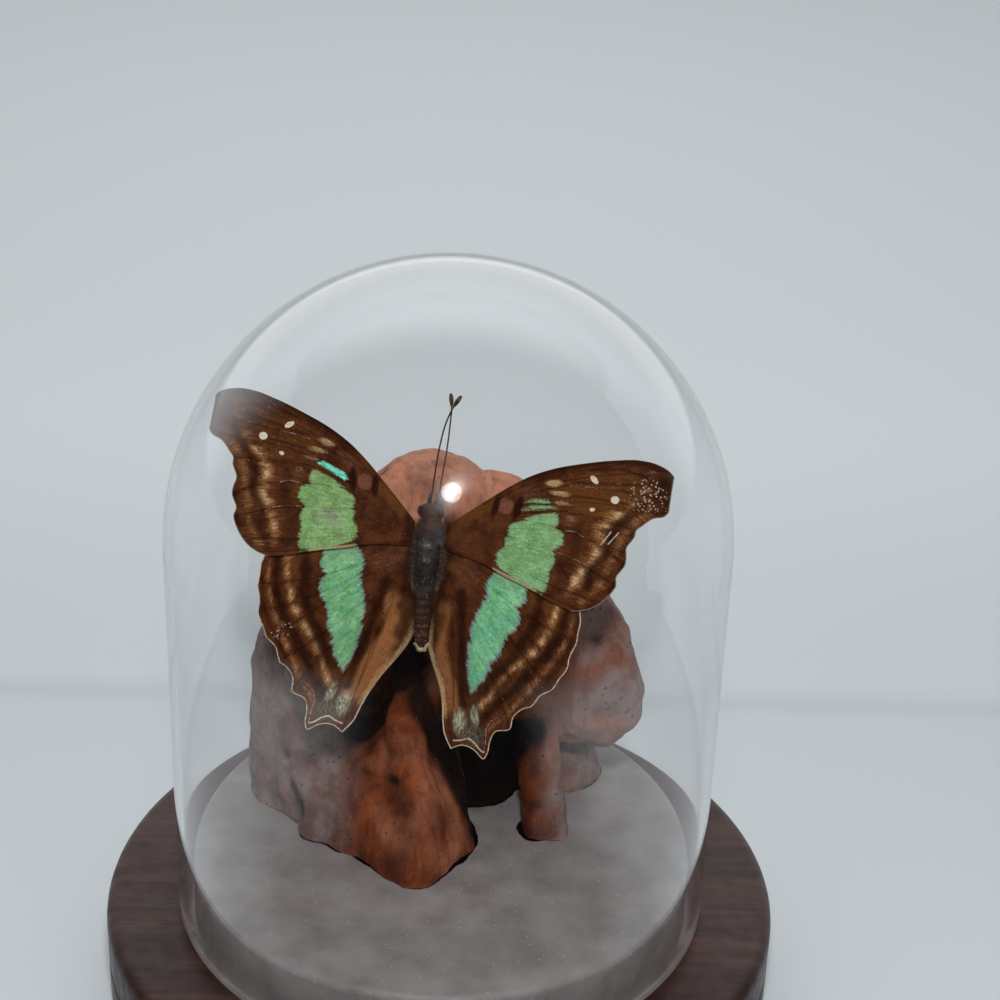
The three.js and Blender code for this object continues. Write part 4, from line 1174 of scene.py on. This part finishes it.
CAMERA_PLACE = (0, -295.5, 246.8)
CAMERA_DOWN, CAMERA_ASIDE, CAMERA_ROLL = 27.527, 1.52, 2.08    # degrees
CAMERA_LENS, CAMERA_SENSOR = 76.25, 36
FLASH_PLACE, FLASH_AIM = (3, -274, 360), (0, 0, 80)
WALL_LINE = 86.0              # where the table meets the wall
AMBIENT_AHEAD = 0.22          # even light from in front of the object
AMBIENT_BEHIND = 0.72         # and from behind it, where the room is bright
MIRRORED_BEHIND = 0.85        # what glass and varnish mirror from behind the object
MIRRORED_ABOVE = 1.65         # and from the ceiling behind it
MIRRORED_AHEAD = 0.02         # and from the dark room in front of it


def floor_finish():
    """Plain pale table; past the line where it meets the wall it is a shade greyer and bluer and grows
    paler towards the back as painted light, with a painted shadow along that line.
    What the glass mirrors of it from in front is as dark as the room there, and bright at the sides."""
    f = Finish("pale_floor", Roughness=0.6)
    x, y, _ = f.node("SeparateXYZ", {0: f.place}).outputs
    line = f.sum("DIVIDE", y, MM)
    far = f.between(line, WALL_LINE - 2, WALL_LINE + 4)
    # Painted shadow: a darker line where the table meets the wall.
    corner_shadow = f.times(f.between(line, WALL_LINE - 5, WALL_LINE), f.between(line, WALL_LINE + 9, WALL_LINE))
    # Painted light: the part past the wall line grows paler towards the back.
    tone = f.mix(far, "#d2d8dc", f.over("#d6dde1", "#e8eff2", line, WALL_LINE, WALL_LINE + 150))
    f.set("Base Color", f.mix(f.times(corner_shadow, 0.16), tone, "#9aa0a3"))
    mirrored = f.sum("GREATER_THAN", f.node("LightPath").outputs["Glossy Depth"], 0.5)
    middle = f.between(f.sum("ABSOLUTE", f.sum("DIVIDE", x, MM)), 65, 125, 1, 0)
    away = f.node("VectorMath", {0: f.place}, operation="LENGTH").outputs["Value"]
    away = f.between(f.sum("DIVIDE", away, MM), 155, 190)
    unlit = f.times(mirrored, f.times(f.between(line, 0, -60), f.sum("MAXIMUM", middle, away)))
    f.surface(unlit, f.node("BsdfDiffuse", {"Color": (*[MIRRORED_AHEAD] * 3, 1)}))
    return f.material


def make_stage():
    """A floor of 6 m that holds the whole view."""
    mesh = bpy.data.meshes.new("floor")
    corners = [(-3, -3, 0), (3, -3, 0), (3, 3, 0), (-3, 3, 0)]
    mesh.from_pydata(corners, [], [(0, 1, 2, 3)])
    mesh.materials.append(floor_finish())
    in_scene("floor", mesh)


def aimed(place, target):
    """Rotation that points a lamp's or camera's -Z from place to target, upright."""
    back = unit(np.asarray(place, float) - target)
    right = unit(np.cross([0, 0, 1], back))
    return np.stack([right, np.cross(back, right), back], 1)


def matrix_of(rotation, place):
    """A lamp's or camera's matrix from its rotation and its place in millimetres."""
    full = np.eye(4)
    full[:3, :3], full[:3, 3] = rotation, np.multiply(place, MM)
    return Matrix(full.tolist())


def make_lamp(name, place, target, size, watts):
    """A round lamp, seen by no mirror."""
    light = bpy.data.lights.new(name, "AREA")
    light.shape = "DISK"
    light.size = size * MM
    light.energy = watts
    lamp = in_scene(name, light)
    lamp.matrix_world = matrix_of(aimed(place, target), place)
    lamp.visible_glossy = False
    return lamp


def make_world():
    """Even soft light, weaker from ahead. What shiny surfaces mirror is a bright room behind,
    brighter still towards its ceiling, and a dark one ahead."""
    world = bpy.data.worlds.new("studio")
    bpy.context.scene.world = world
    world.use_nodes = True
    tree = world.node_tree

    way = new_node(tree, "TexCoord").outputs["Generated"]
    _, ahead, up = new_node(tree, "SeparateXYZ", {0: way}).outputs
    ceiling = stepped(tree, up, 0.35, 0.85, MIRRORED_BEHIND, MIRRORED_ABOVE, "LINEAR")
    mirrored = stepped(tree, ahead, 0.25, 0.65, MIRRORED_AHEAD, ceiling)
    ambient = stepped(tree, ahead, -0.7, 0.7, AMBIENT_AHEAD, AMBIENT_BEHIND, "LINEAR")
    glossy = new_node(tree, "LightPath").outputs["Is Glossy Ray"]
    shade = tree.nodes["Background"]
    shade.inputs["Color"].default_value = (0.95, 0.98, 1.0, 1)
    tree.links.new(stepped(tree, glossy, 0, 1, ambient, mirrored, "LINEAR"), shade.inputs["Strength"])


def make_camera():
    """Camera at the height and slant of the view, a normal lens on a small sensor."""
    down, aside, roll = np.radians([CAMERA_DOWN, CAMERA_ASIDE, CAMERA_ROLL])
    ahead = np.array([np.sin(aside) * np.cos(down), np.cos(aside) * np.cos(down), -np.sin(down)])
    right = unit(np.cross(ahead, [0, 0, 1]))
    up = np.cross(right, ahead)
    across = np.cos(roll) * right + np.sin(roll) * up
    upright = np.cos(roll) * up - np.sin(roll) * right
    data = bpy.data.cameras.new("camera")
    data.sensor_width, data.lens = CAMERA_SENSOR, CAMERA_LENS
    data.clip_start, data.clip_end = 0.01, 20
    camera = in_scene("camera", data)
    camera.matrix_world = matrix_of(np.stack([across, upright, -ahead], 1), CAMERA_PLACE)
    bpy.context.scene.camera = camera


def make_flash_image():
    """What the glass mirrors of the flash: a lobed disc that glows less and less towards its
    edge, strength = peak·exp(-r/fall), unseen in any other way."""
    rows, sides, radius, fall, peak = 30, 72, 62.0, 11.0, 55.0
    a = 2 * np.pi * np.arange(sides) / sides
    r = np.linspace(0.5, radius, rows)[:, None]
    wave = 1 + 0.3 * np.cos(2 * (a - 0.9)) + 0.06 * np.sin(3 * a)
    rings = np.stack([r * wave * np.cos(a), r * wave * np.sin(a), 0 * r * a], -1).reshape(-1, 3)
    points = FLASH_PLACE + rings @ aimed(FLASH_PLACE, FLASH_AIM).T
    mesh = bpy.data.meshes.new("flash_image")
    mesh.from_pydata((points * MM).tolist(), [], grid_faces(rows, sides, closed=True).tolist())
    level = mesh.attributes.new("glow", "FLOAT", "POINT")
    level.data.foreach_set("value", (peak * np.exp(-np.repeat(r, sides) / fall)).astype(np.float32))
    f = Finish("flash_glow", Base_Color=(0, 0, 0, 1), Specular_IOR_Level=0.0, Emission_Color=(1, 1, 1, 1))
    f.set("Emission Strength", f.mark("glow"))
    f.material.cycles.emission_sampling = "NONE"
    mesh.materials.append(f.material)
    made = in_scene("flash_image", mesh)
    made.visible_camera = made.visible_diffuse = made.visible_transmission = made.visible_shadow = False


def make_lights():
    """One small lamp over the camera, and a soft one that only evens out the backdrop."""
    make_lamp("flash", FLASH_PLACE, FLASH_AIM, 50, 1.05)
    backdrop = make_lamp("backdrop_light", (0, 470, 430), (0, 520, 0), 420, 0.3)
    backdrop.visible_transmission = False
    make_flash_image()
    make_world()
    bpy.context.scene.view_settings.view_transform = "Standard"


# ---------------------------------------------------------------- all together

make_camera()
make_lights()
make_stage()
make_base()
make_dome()
make_driftwood()
make_wings()
make_body()
make_fur()
